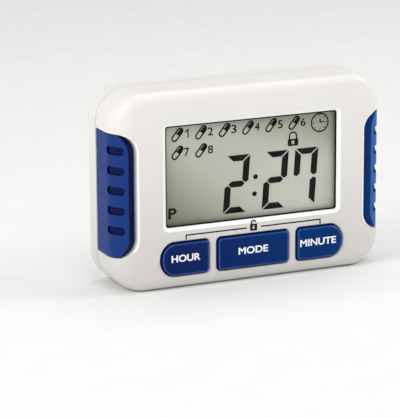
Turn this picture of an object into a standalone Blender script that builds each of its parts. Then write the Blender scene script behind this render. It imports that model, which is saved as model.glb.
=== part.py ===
"""Electronic pill timer: a white two-part housing with blue side grips, a segment display, three keys,
a sliding battery door and a fold-out stand. Metres, +Z up. The display faces -Y, and the timer stands on
Z = 0.

Depths are measured from the flat front face of the housing towards the back. y_at turns a depth into Y.
"""

from math import cos, dist, pi, sin, sqrt

import bmesh
import bpy
from mathutils import Matrix, Vector

# Housing
HOUSING_WIDTH = 0.080
HOUSING_HEIGHT = 0.054
HOUSING_DEPTH = 0.0205
CORNER_RADIUS = 0.009
SIDE_ROLL = 0.0065  # the front face rolls round to the sides on this radius
TOP_ROLL = 0.0025
BOTTOM_ROLL = 0.0040
REAR_ROLL = 0.0030
WALL = 0.0016
PARTING_DEPTH = 0.0130
TONGUE_LENGTH = 0.0015
TONGUE_THICKNESS = 0.0010
TONGUE_ROOT = 0.0017
GAP = 0.0003  # between pieces that rest against each other
OVERRUN = 0.0010  # how far a cutter passes the face that it opens
BLEND = 0.0008  # how far a boss or block reaches into the wall that carries it
SMALLEST_RADIUS = 0.00015
MERGE_DISTANCE = 0.000001
LEAST_STEP = 0.00002  # sections of the housing that lie closer than this are one
ARC_STEPS = 8
ROLL_STEPS = 8
SMALL_ARC_STEPS = 6
DISPLAY_ARC_STEPS = 4
INNER_ARC_STEPS = 5  # inner surfaces, which only the opened timer shows, have fewer facets
INNER_ROLL_STEPS = 4

# Display window, lens and liquid crystal cell
WINDOW_WIDTH = 0.0505
WINDOW_BOTTOM = 0.0172
WINDOW_TOP_MARGIN = 0.0092
WINDOW_RADIUS = 0.0007
WINDOW_BEVEL = 0.0010
WINDOW_LIP = 0.0007  # depth of the bevelled lip that covers the edge of the lens
LENS_MARGIN = 0.0013
LENS_THICKNESS = 0.0009
GLASS_THICKNESS = 0.0009
GLASS_SIDE_MARGIN = 0.00225
GLASS_LOWER_MARGIN = 0.0014
GLASS_UPPER_MARGIN = 0.0028
REAR_GLASS_UPPER_MARGIN = 0.0004
REFLECTOR_THICKNESS = 0.0005
HOLDER_WALL = 0.0011
ZEBRA_WIDTH = 0.0014
ZEBRA_END_MARGIN = 0.0020

# Circuit board and what it carries
BOARD_THICKNESS = 0.0010
BOARD_LOWER_EDGE = 0.0030
BOARD_UPPER_MARGIN = 0.0042
BOARD_POST_RADIUS = 0.0019
BOARD_POST_FROM_HOLDER = 0.0025
BOARD_POST_LOWER_Z = 0.0148
BOARD_POST_TOP_MARGIN = 0.0135
BOARD_EDGE_PAST_POST = 0.0020
BOARD_NOTCH_ROOM = 0.0006
CHIP_WIDTH = 0.0100
CHIP_HEIGHT = 0.0014
CHIP_EDGE = 0.0002
CHIP_X = 0.0060
CHIP_BELOW_BAY = 0.0129
CRYSTAL_RADIUS = 0.0010
CRYSTAL_LENGTH = 0.0060
CRYSTAL_X = 0.0165
CRYSTAL_BELOW_BAY = 0.0079
CAN_EDGE = 0.0003
CAPACITOR_RADIUS = 0.0025
CAPACITOR_HEIGHT = 0.0070
CAPACITOR_X = 0.0225
CAPACITOR_Z = 0.0160
BUZZER_X = -0.0215
BUZZER_BELOW_BAY = 0.0134
BUZZER_RADIUS = 0.0062
BUZZER_HEIGHT = 0.0085
BUZZER_WALL = 0.0008
BUZZER_PORT_RADIUS = 0.0012
BUZZER_LEDGE_DEPTH = 0.0012
BUZZER_DISC_THICKNESS = 0.0003
SOUND_HOLE_RADIUS = 0.0007
SOUND_HOLE_CIRCLE = 0.0026
SOUND_HOLES_ON_CIRCLE = 6
SOUND_RING_WALL = 0.0010

# Keys and their silicone mat
KEY_HEIGHT = 0.00885
KEY_CENTRE_Z = 0.008525
SIDE_KEY_WIDTH = 0.01365
MODE_KEY_WIDTH = 0.0209
KEY_SPACING = 0.0027
KEY_CORNER_RADIUS = 0.0010
KEY_END_RADIUS = 0.0038
KEY_END_SHARE = 0.49  # height of a side key's round end, as a share of the key's height
KEY_PROUD = 0.0005
KEY_EDGE_ROUND = 0.0006
KEY_EDGE_STEPS = 3
KEY_CLEARANCE = 0.00035
KEY_RIM_BEVEL = 0.00035
KEY_FLANGE_WIDTH = 0.0008
KEY_FLANGE_THICKNESS = 0.0007
KEY_SHELL = 0.0012
KEY_PAD_RADIUS = 0.0026
MAT_THICKNESS = 0.0006
MAT_MARGIN = 0.0009
MAT_CORNER = 0.0010
DOME_BASE_RADIUS = 0.0036
DOME_TOP_RADIUS = 0.0024
DOME_WALL = 0.0005
DOME_ROOF = 0.0007
DOME_POST_RADIUS = 0.0012
DOME_POST_CLEARANCE = 0.0007  # the contact post stops this far above the mat's underside

# Side grips
GRIP_REACH = 0.0065  # how far a grip reaches in from the side of the housing
GRIP_BOTTOM = 0.0099
GRIP_TOP_MARGIN = 0.0103
GRIP_CORNER_WIDTH = 0.0056
GRIP_CORNER_HEIGHT = 0.0052
GRIP_SUNK = 0.0002
GRIP_THICKNESS = 0.0024
GRIP_FLOOR = 0.0014
GRIP_BAND_WIDTH = 0.00305  # the inner edge of a grip slopes down to the recess over this width
GRIP_BAND_DEPTH = 0.0018
GRIP_RIM_BEVEL = 0.0004
GROOVE_COUNT = 5
GROOVE_END_MARGIN = 0.0061
GROOVE_HEIGHT = 0.0022
GROOVE_REACH = 0.0032  # how far a groove runs in over the front of the grip
GROOVE_DEPTH = 0.00045
GROOVE_END_DEPTH = 0.0058  # depth behind the front face at which a groove ends on the side
GROOVE_END_STEPS = 3
GROOVE_LEFT_RISE = 0.0015  # the left grip's grooves sit this much higher than the right one's
PEG_RADIUS = 0.0011
PEG_DEPTH = 0.0098
PEG_END_MARGIN = 0.0079
PEG_PROUD = 0.0005

# AAA cell, its bay and its contacts
CELL_RADIUS = 0.00525
CELL_LENGTH = 0.0445
CELL_NUB_RADIUS = 0.0019
CELL_NUB_HEIGHT = 0.0010
CELL_EDGE = 0.0004
CELL_RIM_WIDTH = 0.0009
CELL_RIM_DEPTH = 0.00015
CELL_FROM_TOP = 0.0123
BAY_CLEARANCE = 0.00035
BAY_WALL = 0.0012
BAY_FLOOR = 0.0010
SPRING_LENGTH = 0.0034
SPRING_WIRE_RADIUS = 0.00025
SPRING_BASE_RADIUS = 0.0036
SPRING_TIP_RADIUS = 0.0018
SPRING_TURNS = 3.5
SPRING_POINTS_PER_TURN = 10
PLATE_THICKNESS = 0.0003
PLATE_WIDTH = 0.0090
PLATE_TAIL_WIDTH = 0.0020

# Battery door
DOOR_HALF_WIDTH = 0.0280
DOOR_THICKNESS = 0.0016
DOOR_RAIL_WIDTH = 0.0010
DOOR_RAIL_THICKNESS = 0.0007
DOOR_RAIL_TOP_MARGIN = 0.0015
DOOR_LEDGE = 0.0015
DOOR_RIDGES = 5
DOOR_RIDGE_PITCH = 0.0017
DOOR_RIDGE_WIDTH = 0.0008
DOOR_RIDGE_LENGTH = 0.0140
DOOR_RIDGE_DEPTH = 0.0004
DOOR_RIDGES_FROM_BOTTOM = 0.0030

# Stand
STAND_WIDTH = 0.0260
STAND_BOTTOM = 0.0040
STAND_CORNER = 0.0030
STAND_THICKNESS = 0.0022
STAND_FLUSH = 0.00005  # how far the folded leg stays in from the back face
STAND_CLEARANCE = 0.00035
STAND_FLOOR = 0.0014
STAND_POCKET_DEPTH = 0.0011
STAND_POCKET_RIM = 0.0024
STAND_BELOW_DOOR = 0.0044
BARREL_RADIUS = 0.00175
PIN_RADIUS = 0.0006
PIN_END = 0.0025  # length of pin in each side wall of the recess
PIN_CHEEK = 0.0015
SCOOP_RADIUS = 0.0060
SCOOP_DEPTH = 0.0015

# Screws
CASE_SCREW_FROM_SIDE = 0.0067
CASE_SCREW_FROM_END = 0.0070
CASE_POST_WALL = 0.0014
CASE_SCREW_RADIUS = 0.00105
CASE_SCREW_LENGTH = 0.0078
CASE_HEAD_RADIUS = 0.0019
CASE_HEAD_HEIGHT = 0.0014
CASE_SEAT_DEPTH = 0.0165
CASE_HOLE_PAST_SCREW = 0.0010
CASE_COUNTERBORE_CLEARANCE = 0.0004
CASE_TUBE_WALL = 0.0009
BOARD_SCREW_RADIUS = 0.00075
BOARD_SCREW_LENGTH = 0.0040
BOARD_HEAD_RADIUS = 0.0016
BOARD_HEAD_HEIGHT = 0.0010
HEAD_ROUND = 0.0004
SLOT_WIDTH = 0.0005
SLOT_LENGTH = 0.0022
SLOT_DEPTH = 0.0007
HOLE_SEGMENTS = 16
POST_SEGMENTS = 20
CELL_SEGMENTS = 32
SCREW_SEGMENTS = 12

# Depths that follow from the sizes above
FRONT_Y = -(HOUSING_DEPTH + KEY_PROUD) / 2 + KEY_PROUD
HALF_WIDTH = HOUSING_WIDTH / 2
LENS_NEAR = WINDOW_LIP + GAP
LENS_FAR = LENS_NEAR + LENS_THICKNESS
GLASS_NEAR = LENS_FAR + GAP
GLASS_FAR = GLASS_NEAR + GLASS_THICKNESS
REAR_GLASS_NEAR = GLASS_FAR + GAP
REAR_GLASS_FAR = REAR_GLASS_NEAR + GLASS_THICKNESS
REFLECTOR_NEAR = REAR_GLASS_FAR + GAP
REFLECTOR_FAR = REFLECTOR_NEAR + REFLECTOR_THICKNESS
BOARD_NEAR = REFLECTOR_FAR + GAP
BOARD_FAR = BOARD_NEAR + BOARD_THICKNESS
ON_BOARD = BOARD_FAR + GAP
BAY_FLOOR_FAR = ON_BOARD + BAY_FLOOR
CELL_DEPTH = BAY_FLOOR_FAR + GAP + CELL_RADIUS
DOOR_NEAR = HOUSING_DEPTH - DOOR_THICKNESS
LEDGE_FAR = DOOR_NEAR - GAP
KEY_FLANGE_NEAR = WALL + GAP
KEY_BACK = KEY_FLANGE_NEAR + KEY_FLANGE_THICKNESS
DOME_NEAR = KEY_BACK + GAP
MAT_FAR = BOARD_NEAR - GAP
MAT_NEAR = MAT_FAR - MAT_THICKNESS
GRIP_INNER_INSET = GRIP_SUNK + GRIP_THICKNESS
GRIP_SEAT_INSET = GRIP_INNER_INSET + GAP
POCKET_INSET = GRIP_SEAT_INSET + GRIP_FLOOR
STAND_FAR = HOUSING_DEPTH - STAND_FLUSH
STAND_NEAR = STAND_FAR - STAND_THICKNESS
HINGE_DEPTH = STAND_FAR - BARREL_RADIUS

# Places across the front
WINDOW_HALF = WINDOW_WIDTH / 2
WINDOW_TOP = HOUSING_HEIGHT - WINDOW_TOP_MARGIN
GLASS_HALF = WINDOW_HALF + GLASS_SIDE_MARGIN
GLASS_BOTTOM = WINDOW_BOTTOM - GLASS_LOWER_MARGIN
GLASS_TOP = WINDOW_TOP + GLASS_UPPER_MARGIN
REAR_GLASS_TOP = WINDOW_TOP + REAR_GLASS_UPPER_MARGIN
HOLDER_HALF = GLASS_HALF + GAP + HOLDER_WALL
BOARD_POST_X = HOLDER_HALF + BOARD_POST_FROM_HOLDER
BOARD_HALF = BOARD_POST_X + BOARD_EDGE_PAST_POST
BOARD_TOP = HOUSING_HEIGHT - BOARD_UPPER_MARGIN
BOARD_POST_HEIGHTS = (BOARD_POST_LOWER_Z, HOUSING_HEIGHT - BOARD_POST_TOP_MARGIN)
BOARD_POSTS = [(side * BOARD_POST_X, z) for side in (-1, 1) for z in BOARD_POST_HEIGHTS]
CASE_SCREW_X = HALF_WIDTH - CASE_SCREW_FROM_SIDE
CASE_SCREWS = [
    (side * CASE_SCREW_X, z)
    for side in (-1, 1)
    for z in (CASE_SCREW_FROM_END, HOUSING_HEIGHT - CASE_SCREW_FROM_END)
]
CASE_PILOT_RADIUS = CASE_SCREW_RADIUS + GAP
CASE_POST_RADIUS = CASE_PILOT_RADIUS + CASE_POST_WALL
CASE_COUNTERBORE_RADIUS = CASE_HEAD_RADIUS + CASE_COUNTERBORE_CLEARANCE
CASE_TUBE_RADIUS = CASE_COUNTERBORE_RADIUS + CASE_TUBE_WALL
SIDE_KEY_X = MODE_KEY_WIDTH / 2 + KEY_SPACING + SIDE_KEY_WIDTH / 2
GRIP_INNER_X = HALF_WIDTH - GRIP_REACH
GRIP_TOP = HOUSING_HEIGHT - GRIP_TOP_MARGIN
GRIP_MIDDLE = (GRIP_BOTTOM + GRIP_TOP) / 2
GRIP_HEIGHT = GRIP_TOP - GRIP_BOTTOM
GROOVE_PITCH = (GRIP_HEIGHT - 2 * GROOVE_END_MARGIN) / (GROOVE_COUNT - 1)
PEG_SPACING = GRIP_HEIGHT - 2 * PEG_END_MARGIN
CELL_Z = HOUSING_HEIGHT - CELL_FROM_TOP
BAY_HALF_HEIGHT = CELL_RADIUS + BAY_CLEARANCE
BAY_LEFT = -CELL_LENGTH / 2 - SPRING_LENGTH - PLATE_THICKNESS - 3 * GAP
BAY_RIGHT = CELL_LENGTH / 2 + PLATE_THICKNESS + 2 * GAP
DOOR_BOTTOM = CELL_Z - BAY_HALF_HEIGHT - BAY_WALL
CHIP_Z = DOOR_BOTTOM - CHIP_BELOW_BAY
CRYSTAL_Z = DOOR_BOTTOM - CRYSTAL_BELOW_BAY
BUZZER_Z = DOOR_BOTTOM - BUZZER_BELOW_BAY
HINGE_Z = DOOR_BOTTOM - STAND_BELOW_DOOR
STAND_HALF = STAND_WIDTH / 2
RECESS_HALF = STAND_HALF + GAP
RECESS_TOP = HINGE_Z + BARREL_RADIUS + STAND_CLEARANCE


def y_at(depth):
    """World Y of a depth behind the front face."""
    return FRONT_Y + depth


def clear_scene():
    for scene_object in list(bpy.data.objects):
        bpy.data.objects.remove(scene_object, do_unlink=True)


def new_collection(name):
    collection = bpy.data.collections.new(name)
    bpy.context.scene.collection.children.link(collection)
    return collection


def material(name, colour, roughness, metallic=0.0):
    """A Principled material with the piece's colour, roughness and metallic value."""
    made = bpy.data.materials.new(name)
    made.use_nodes = True
    shader = made.node_tree.nodes["Principled BSDF"]
    shader.inputs["Base Color"].default_value = (*colour, 1.0)
    shader.inputs["Roughness"].default_value = roughness
    shader.inputs["Metallic"].default_value = metallic
    made.diffuse_color = (*colour, 1.0)
    return made


def solid(name, mesh, place=None):
    """An object from a bmesh. It starts as a helper: as_piece makes it a sub-part."""
    if place is not None:
        mesh.transform(place)
    bmesh.ops.recalc_face_normals(mesh, faces=mesh.faces)
    data = bpy.data.meshes.new(name)
    mesh.to_mesh(data)
    mesh.free()
    made = bpy.data.objects.new(name, data)
    HELPERS.objects.link(made)
    made.hide_render = True
    made.display_type = "WIRE"
    return made


def as_piece(made, look, smooth=True):
    """Moves an object from the helpers to the sub-parts and gives it its material."""
    HELPERS.objects.unlink(made)
    PIECES.objects.link(made)
    made.hide_render = False
    made.display_type = "TEXTURED"
    made.data.materials.clear()
    made.data.materials.append(look)
    if smooth and made.type == "MESH":
        made.data.shade_smooth()
        made.data.set_sharp_from_angle(angle=pi / 6)
    return made


def boolean(made, operation, *others):
    """Adds one exact Boolean for each other solid."""
    for other in others:
        modifier = made.modifiers.new(f"{operation.lower()} {other.name}", "BOOLEAN")
        modifier.operation = operation
        modifier.solver = "EXACT"
        modifier.object = other
    return made


def cut(made, *others):
    return boolean(made, "DIFFERENCE", *others)


def join(made, *others):
    return boolean(made, "UNION", *others)


def keep_common(made, *others):
    return boolean(made, "INTERSECT", *others)


def bevel(made, width, segments=2, angle=pi / 5):
    modifier = made.modifiers.new("edge bevel", "BEVEL")
    modifier.width = width
    modifier.segments = segments
    modifier.limit_method = "ANGLE"
    modifier.angle_limit = angle
    modifier.use_clamp_overlap = True
    return made


def pivot(name, place, *pieces):
    """An empty on a joint axis that carries the pieces of a moving body."""
    empty = bpy.data.objects.new(name, None)
    empty.empty_display_size = BARREL_RADIUS
    empty.location = place
    PIECES.objects.link(empty)
    for piece in pieces:
        piece.parent = empty
        piece.matrix_parent_inverse = Matrix.Translation(place).inverted()
    return empty


def rounded_rectangle(left, right, bottom, top, radii, steps=ARC_STEPS):
    """Outline points in X and Z. radii holds (radius in X, radius in Z) for the right top, left top,
    left bottom and right bottom corners."""
    centres = (
        (right - radii[0][0], top - radii[0][1]),
        (left + radii[1][0], top - radii[1][1]),
        (left + radii[2][0], bottom + radii[2][1]),
        (right - radii[3][0], bottom + radii[3][1]),
    )
    points = []
    for corner, ((x, z), (radius_x, radius_z)) in enumerate(zip(centres, radii)):
        for step in range(steps + 1):
            angle = (corner + step / steps) * pi / 2
            points.append((x + radius_x * cos(angle), z + radius_z * sin(angle)))
    return points


def even_radii(radius):
    return ((radius, radius),) * 4


def circle(x, z, radius, segments=HOLE_SEGMENTS):
    return [
        (x + radius * cos(2 * pi * step / segments), z + radius * sin(2 * pi * step / segments))
        for step in range(segments)
    ]


def plate(name, outlines, near, far):
    """A flat plate between two depths, from a filled 2D curve. The first outline is its edge, others are
    holes."""
    curve = bpy.data.curves.new(name, "CURVE")
    curve.dimensions = "2D"
    curve.fill_mode = "BOTH"
    curve.extrude = (far - near) / 2
    for outline in outlines:
        spline = curve.splines.new("POLY")
        spline.points.add(len(outline) - 1)
        for point, (x, z) in zip(spline.points, outline):
            point.co = (x, z, 0, 1)
        spline.use_cyclic_u = True
    flat = bpy.data.objects.new(name, curve)
    flat.rotation_euler = (pi / 2, 0, 0)
    flat.location = (0, y_at((near + far) / 2), 0)
    HELPERS.objects.link(flat)
    bpy.context.view_layer.update()
    graph = bpy.context.evaluated_depsgraph_get()
    data = bpy.data.meshes.new_from_object(flat.evaluated_get(graph))
    place = flat.matrix_world.copy()
    bpy.data.objects.remove(flat)
    mesh = bmesh.new()
    mesh.from_mesh(data)
    bpy.data.meshes.remove(data)
    bmesh.ops.remove_doubles(mesh, verts=mesh.verts, dist=MERGE_DISTANCE)
    return solid(name, mesh, place)


def bridge(mesh, rings):
    """Closes a bmesh through rings of vertices of equal count, with a face on the first and on the last."""
    count = len(rings[0])
    for near, far in zip(rings, rings[1:]):
        for here in range(count):
            after = (here + 1) % count
            mesh.faces.new((near[here], near[after], far[after], far[here]))
    mesh.faces.new(rings[0])
    mesh.faces.new(rings[-1])


def loft(name, sections):
    """A closed solid through outlines of equal point count, as (depth, outline) from front to back."""
    mesh = bmesh.new()
    bridge(mesh, [[mesh.verts.new((x, y_at(depth), z)) for x, z in outline] for depth, outline in sections])
    return solid(name, mesh)


def cylinders(name, places, radius, near, far, segments=HOLE_SEGMENTS):
    """Cylinders along Y at (x, z) places, as one helper."""
    mesh = bmesh.new()
    middle = (near + far) / 2
    for x, z in places:
        bmesh.ops.create_cone(
            mesh,
            cap_ends=True,
            segments=segments,
            radius1=radius,
            radius2=radius,
            depth=far - near,
            matrix=backwards(x, middle, z),
        )
    return solid(name, mesh)


def cross_cylinders(name, places, radius, left, right, segments=HOLE_SEGMENTS):
    """Cylinders along X at (depth, z) places, as one helper."""
    mesh = bmesh.new()
    middle = (left + right) / 2
    for depth, z in places:
        bmesh.ops.create_cone(
            mesh,
            cap_ends=True,
            segments=segments,
            radius1=radius,
            radius2=radius,
            depth=right - left,
            matrix=rightwards(middle, depth, z),
        )
    return solid(name, mesh)


def boxes(name, *extents):
    """Boxes given as (left, right, near, far, bottom, top), as one helper."""
    mesh = bmesh.new()
    for left, right, near, far, bottom, top in extents:
        middle = ((left + right) / 2, y_at((near + far) / 2), (bottom + top) / 2)
        size = Matrix.Diagonal((right - left, far - near, top - bottom, 1))
        bmesh.ops.create_cube(mesh, size=1, matrix=Matrix.Translation(middle) @ size)
    return solid(name, mesh)


def turned(name, profile, place, segments):
    """A turned solid. The profile is (radius, height) from its top down to its bottom, both on the axis."""
    data = bpy.data.meshes.new(name)
    edges = [(here, here + 1) for here in range(len(profile) - 1)]
    data.from_pydata([(radius, 0, height) for radius, height in profile], edges, [])
    made = bpy.data.objects.new(name, data)
    made.matrix_world = place
    HELPERS.objects.link(made)
    made.hide_render = True
    made.display_type = "WIRE"
    screw = made.modifiers.new("turn", "SCREW")
    screw.steps = segments
    screw.render_steps = segments
    screw.use_merge_vertices = True
    screw.merge_threshold = MERGE_DISTANCE
    screw.use_normal_calculate = False
    return made


def backwards(x, depth, z):
    """Placement whose +Z points to the back of the timer."""
    return Matrix.Translation((x, y_at(depth), z)) @ Matrix.Rotation(-pi / 2, 4, "X")


def rightwards(x, depth, z):
    """Placement whose +Z points to +X."""
    return Matrix.Translation((x, y_at(depth), z)) @ Matrix.Rotation(pi / 2, 4, "Y")


def rolled_in(travel, radius):
    """How far a quarter round of this radius still lies in from the full size, this far from its start."""
    if radius <= 0 or travel >= radius:
        return 0.0
    return radius - sqrt(radius**2 - (radius - max(travel, 0)) ** 2)


def housing_outline(depth, inset, steps):
    """The housing's outline at a depth, on a skin that lies inset below the outer one."""
    from_front = depth - inset
    from_back = HOUSING_DEPTH - inset - depth
    rear = rolled_in(from_back, REAR_ROLL - inset)
    side = inset + rear + rolled_in(from_front, SIDE_ROLL - inset)
    top = inset + rear + rolled_in(from_front, TOP_ROLL - inset)
    bottom = inset + rear + rolled_in(from_front, BOTTOM_ROLL - inset)
    across = max(CORNER_RADIUS - side, SMALLEST_RADIUS)
    upper = max(CORNER_RADIUS - top, SMALLEST_RADIUS)
    lower = max(CORNER_RADIUS - bottom, SMALLEST_RADIUS)
    return rounded_rectangle(
        side - HALF_WIDTH,
        HALF_WIDTH - side,
        bottom,
        HOUSING_HEIGHT - top,
        ((across, upper), (across, upper), (across, lower), (across, lower)),
        steps,
    )


def housing_form(name, inset, near, far, arc_steps=ARC_STEPS, roll_steps=ROLL_STEPS):
    """The housing's solid form between two depths, inset below its outer skin."""
    front = max(SIDE_ROLL - inset, 0)
    rear = max(REAR_ROLL - inset, 0)
    depths = {near, far}
    for step in range(roll_steps + 1):
        fall = 1 - cos(step / roll_steps * pi / 2)
        for depth in (inset + front * fall, HOUSING_DEPTH - inset - rear * fall):
            if near < depth < far:
                depths.add(depth)
    ordered = sorted(depths)
    pairs = zip(ordered, ordered[1:])
    kept = ordered[:1] + [after for before, after in pairs if after - before > LEAST_STEP]
    return loft(name, [(depth, housing_outline(depth, inset, arc_steps)) for depth in kept])


def inner_form(name, inset, near, far):
    """The housing's form for an inner surface."""
    return housing_form(name, inset, near, far, INNER_ARC_STEPS, INNER_ROLL_STEPS)


def grip_outline(side, grow):
    """Half-round outline of a grip or its recess on one side of the housing, grown by grow."""
    width = GRIP_CORNER_WIDTH + grow
    height = GRIP_CORNER_HEIGHT + grow
    sharp = (SMALLEST_RADIUS, SMALLEST_RADIUS)
    points = rounded_rectangle(
        GRIP_INNER_X - grow,
        HALF_WIDTH + OVERRUN,
        GRIP_BOTTOM - grow,
        GRIP_TOP + grow,
        (sharp, (width, height), (width, height), sharp),
        SMALL_ARC_STEPS,
    )
    return [(side * x, z) for x, z in points]


def key_outline(left, right, grow, round_left=False, round_right=False):
    """Outline of a key between two X values, grown by grow. A side key's outer end is almost half round."""
    corner = max(KEY_CORNER_RADIUS + grow, SMALLEST_RADIUS)
    plain = (corner, corner)
    end = (KEY_END_RADIUS + grow, KEY_HEIGHT * KEY_END_SHARE + grow)
    right_corner = end if round_right else plain
    left_corner = end if round_left else plain
    return rounded_rectangle(
        left - grow,
        right + grow,
        KEY_CENTRE_Z - KEY_HEIGHT / 2 - grow,
        KEY_CENTRE_Z + KEY_HEIGHT / 2 + grow,
        (right_corner, left_corner, left_corner, right_corner),
        SMALL_ARC_STEPS,
    )


def key_places():
    """(name, centre x, outline function of grow) for each key."""

    def outline_of(centre, width, round_left, round_right):
        left = centre - width / 2
        return lambda grow: key_outline(left, left + width, grow, round_left, round_right)

    return (
        ("hour_key", -SIDE_KEY_X, outline_of(-SIDE_KEY_X, SIDE_KEY_WIDTH, True, False)),
        ("mode_key", 0, outline_of(0, MODE_KEY_WIDTH, False, False)),
        ("minute_key", SIDE_KEY_X, outline_of(SIDE_KEY_X, SIDE_KEY_WIDTH, False, True)),
    )


def display_rectangle(side, lower, upper, radius):
    return rounded_rectangle(-side, side, lower, upper, even_radii(radius), DISPLAY_ARC_STEPS)


def window_outline(grow):
    """The display window's outline, grown by grow."""
    return display_rectangle(
        WINDOW_HALF + grow, WINDOW_BOTTOM - grow, WINDOW_TOP + grow, WINDOW_RADIUS + max(grow, 0)
    )


def make_front_housing(look):
    """White front moulding: rolled shell, bevelled window, key openings, grip pockets and screw posts."""
    shell = housing_form("front_housing", 0, 0, PARTING_DEPTH)
    cavity = inner_form("front_cavity", WALL, WALL, PARTING_DEPTH + OVERRUN)
    core = inner_form("grip_pocket_core", POCKET_INSET, POCKET_INSET, PARTING_DEPTH + 2 * OVERRUN)
    for side, word in ((-1, "left"), (1, "right")):
        pocket = grip_outline(side, GRIP_FLOOR)
        block = loft(f"{word}_pocket", [(-OVERRUN, pocket), (PARTING_DEPTH + 2 * OVERRUN, pocket)])
        cut(cavity, cut(block, core))
    cut(shell, cavity)
    root = WALL - BLEND
    join(
        shell,
        cylinders("case_posts", CASE_SCREWS, CASE_POST_RADIUS, root, PARTING_DEPTH - GAP, POST_SEGMENTS),
        cylinders("board_posts", BOARD_POSTS, BOARD_POST_RADIUS, root, BOARD_NEAR - GAP, POST_SEGMENTS),
    )
    seat = inner_form("grip_seat", GRIP_SEAT_INSET, GRIP_SEAT_INSET, PARTING_DEPTH + 2 * OVERRUN)
    for side, word in ((-1, "left"), (1, "right")):
        outline = grip_outline(side, 0)
        recess = loft(
            f"{word}_recess",
            [
                (-GRIP_RIM_BEVEL, grip_outline(side, 2 * GRIP_RIM_BEVEL)),
                (GRIP_RIM_BEVEL, outline),
                (PARTING_DEPTH + OVERRUN, outline),
            ],
        )
        cut(shell, cut(recess, seat), grip_pegs(f"{word}_peg_holes", side, PEG_RADIUS + GAP, OVERRUN))
    window = loft(
        "window",
        [
            (-WINDOW_LIP, window_outline(2 * WINDOW_BEVEL)),
            (WINDOW_LIP, window_outline(0)),
            (WALL + OVERRUN, window_outline(0)),
        ],
    )
    rebate = plate("lens_rebate", [window_outline(LENS_MARGIN + GAP)], WINDOW_LIP, WALL + OVERRUN)
    cut(shell, window, rebate)
    for name, _, outline in key_places():
        opening = loft(
            f"{name}_opening",
            [
                (-KEY_RIM_BEVEL, outline(KEY_CLEARANCE + 2 * KEY_RIM_BEVEL)),
                (KEY_RIM_BEVEL, outline(KEY_CLEARANCE)),
                (WALL + OVERRUN, outline(KEY_CLEARANCE)),
            ],
        )
        cut(shell, opening)
    deepest = CASE_SEAT_DEPTH + GAP - CASE_SCREW_LENGTH - CASE_HOLE_PAST_SCREW
    board_pilot = ON_BOARD - BOARD_SCREW_LENGTH - GAP
    cut(
        shell,
        cylinders("case_pilots", CASE_SCREWS, CASE_PILOT_RADIUS, deepest, PARTING_DEPTH + OVERRUN),
        cylinders("board_pilots", BOARD_POSTS, BOARD_SCREW_RADIUS + GAP, board_pilot, BOARD_NEAR + OVERRUN),
    )
    return as_piece(shell, look)


def grip_pegs(name, side, radius, extra):
    """The two pegs of a grip, or with extra their holes, along X through the pocket floor."""
    places = [(PEG_DEPTH, GRIP_MIDDLE - PEG_SPACING / 2), (PEG_DEPTH, GRIP_MIDDLE + PEG_SPACING / 2)]
    outer = HALF_WIDTH - GRIP_INNER_INSET + BLEND / 2
    inner = HALF_WIDTH - POCKET_INSET - PEG_PROUD - extra
    left, right = sorted((side * inner, side * outer))
    return cross_cylinders(name, places, radius, left, right, SCREW_SEGMENTS)


def make_grip(name, side, rise, look):
    """Blue grip: follows the housing's roll, slopes down at its inner edge and has grooves in its side."""
    grip = loft(
        name,
        [
            (GRIP_SUNK, grip_outline(side, -GAP - GRIP_BAND_WIDTH)),
            (GRIP_SUNK + GRIP_BAND_DEPTH, grip_outline(side, -GAP)),
            (PARTING_DEPTH, grip_outline(side, -GAP)),
        ],
    )
    skin = housing_form(f"{name}_skin", GRIP_SUNK, GRIP_SUNK, PARTING_DEPTH + OVERRUN)
    inside = inner_form(f"{name}_inside", GRIP_INNER_INSET, GRIP_INNER_INSET, PARTING_DEPTH + 2 * OVERRUN)
    keep_common(grip, skin)
    cut(grip, inside)
    cut(grip, make_grooves(f"{name}_grooves", side, rise))
    join(grip, grip_pegs(f"{name}_pegs", side, PEG_RADIUS, 0))
    return as_piece(grip, look)


def make_grooves(name, side, rise):
    """Cutter for a grip's grooves: bars with round ends, pressed square into the roll of the side, that
    stop a groove depth below the grip's skin."""
    roll = SIDE_ROLL - GRIP_SUNK
    end_x = HALF_WIDTH - GRIP_SUNK - rolled_in(GROOVE_END_DEPTH - GRIP_SUNK, roll)
    start = Vector((HALF_WIDTH - GROOVE_REACH, GRIP_SUNK + rolled_in(GROOVE_REACH - GRIP_SUNK, roll)))
    end = Vector((end_x, GROOVE_END_DEPTH))
    length = (end - start).length
    along = (end - start) / length
    outward = Vector((along.y, -along.x)) * SIDE_ROLL
    half = GROOVE_HEIGHT / 2
    radii = even_radii(half - SMALLEST_RADIUS)
    mesh = bmesh.new()
    for number in range(GROOVE_COUNT):
        z = GRIP_MIDDLE + rise + (number - (GROOVE_COUNT - 1) / 2) * GROOVE_PITCH
        outline = rounded_rectangle(0, length, z - half, z + half, radii, GROOVE_END_STEPS)
        rings = []
        for level in (-1, 1):
            ring = []
            for travel, height in outline:
                place = start + along * travel + outward * level
                ring.append(mesh.verts.new((side * place.x, y_at(place.y), height)))
            rings.append(ring)
        bridge(mesh, rings)
    bars = solid(name, mesh)
    inset = GRIP_SUNK + GROOVE_DEPTH
    return cut(bars, housing_form(f"{name}_core", inset, inset, PARTING_DEPTH))


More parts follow.
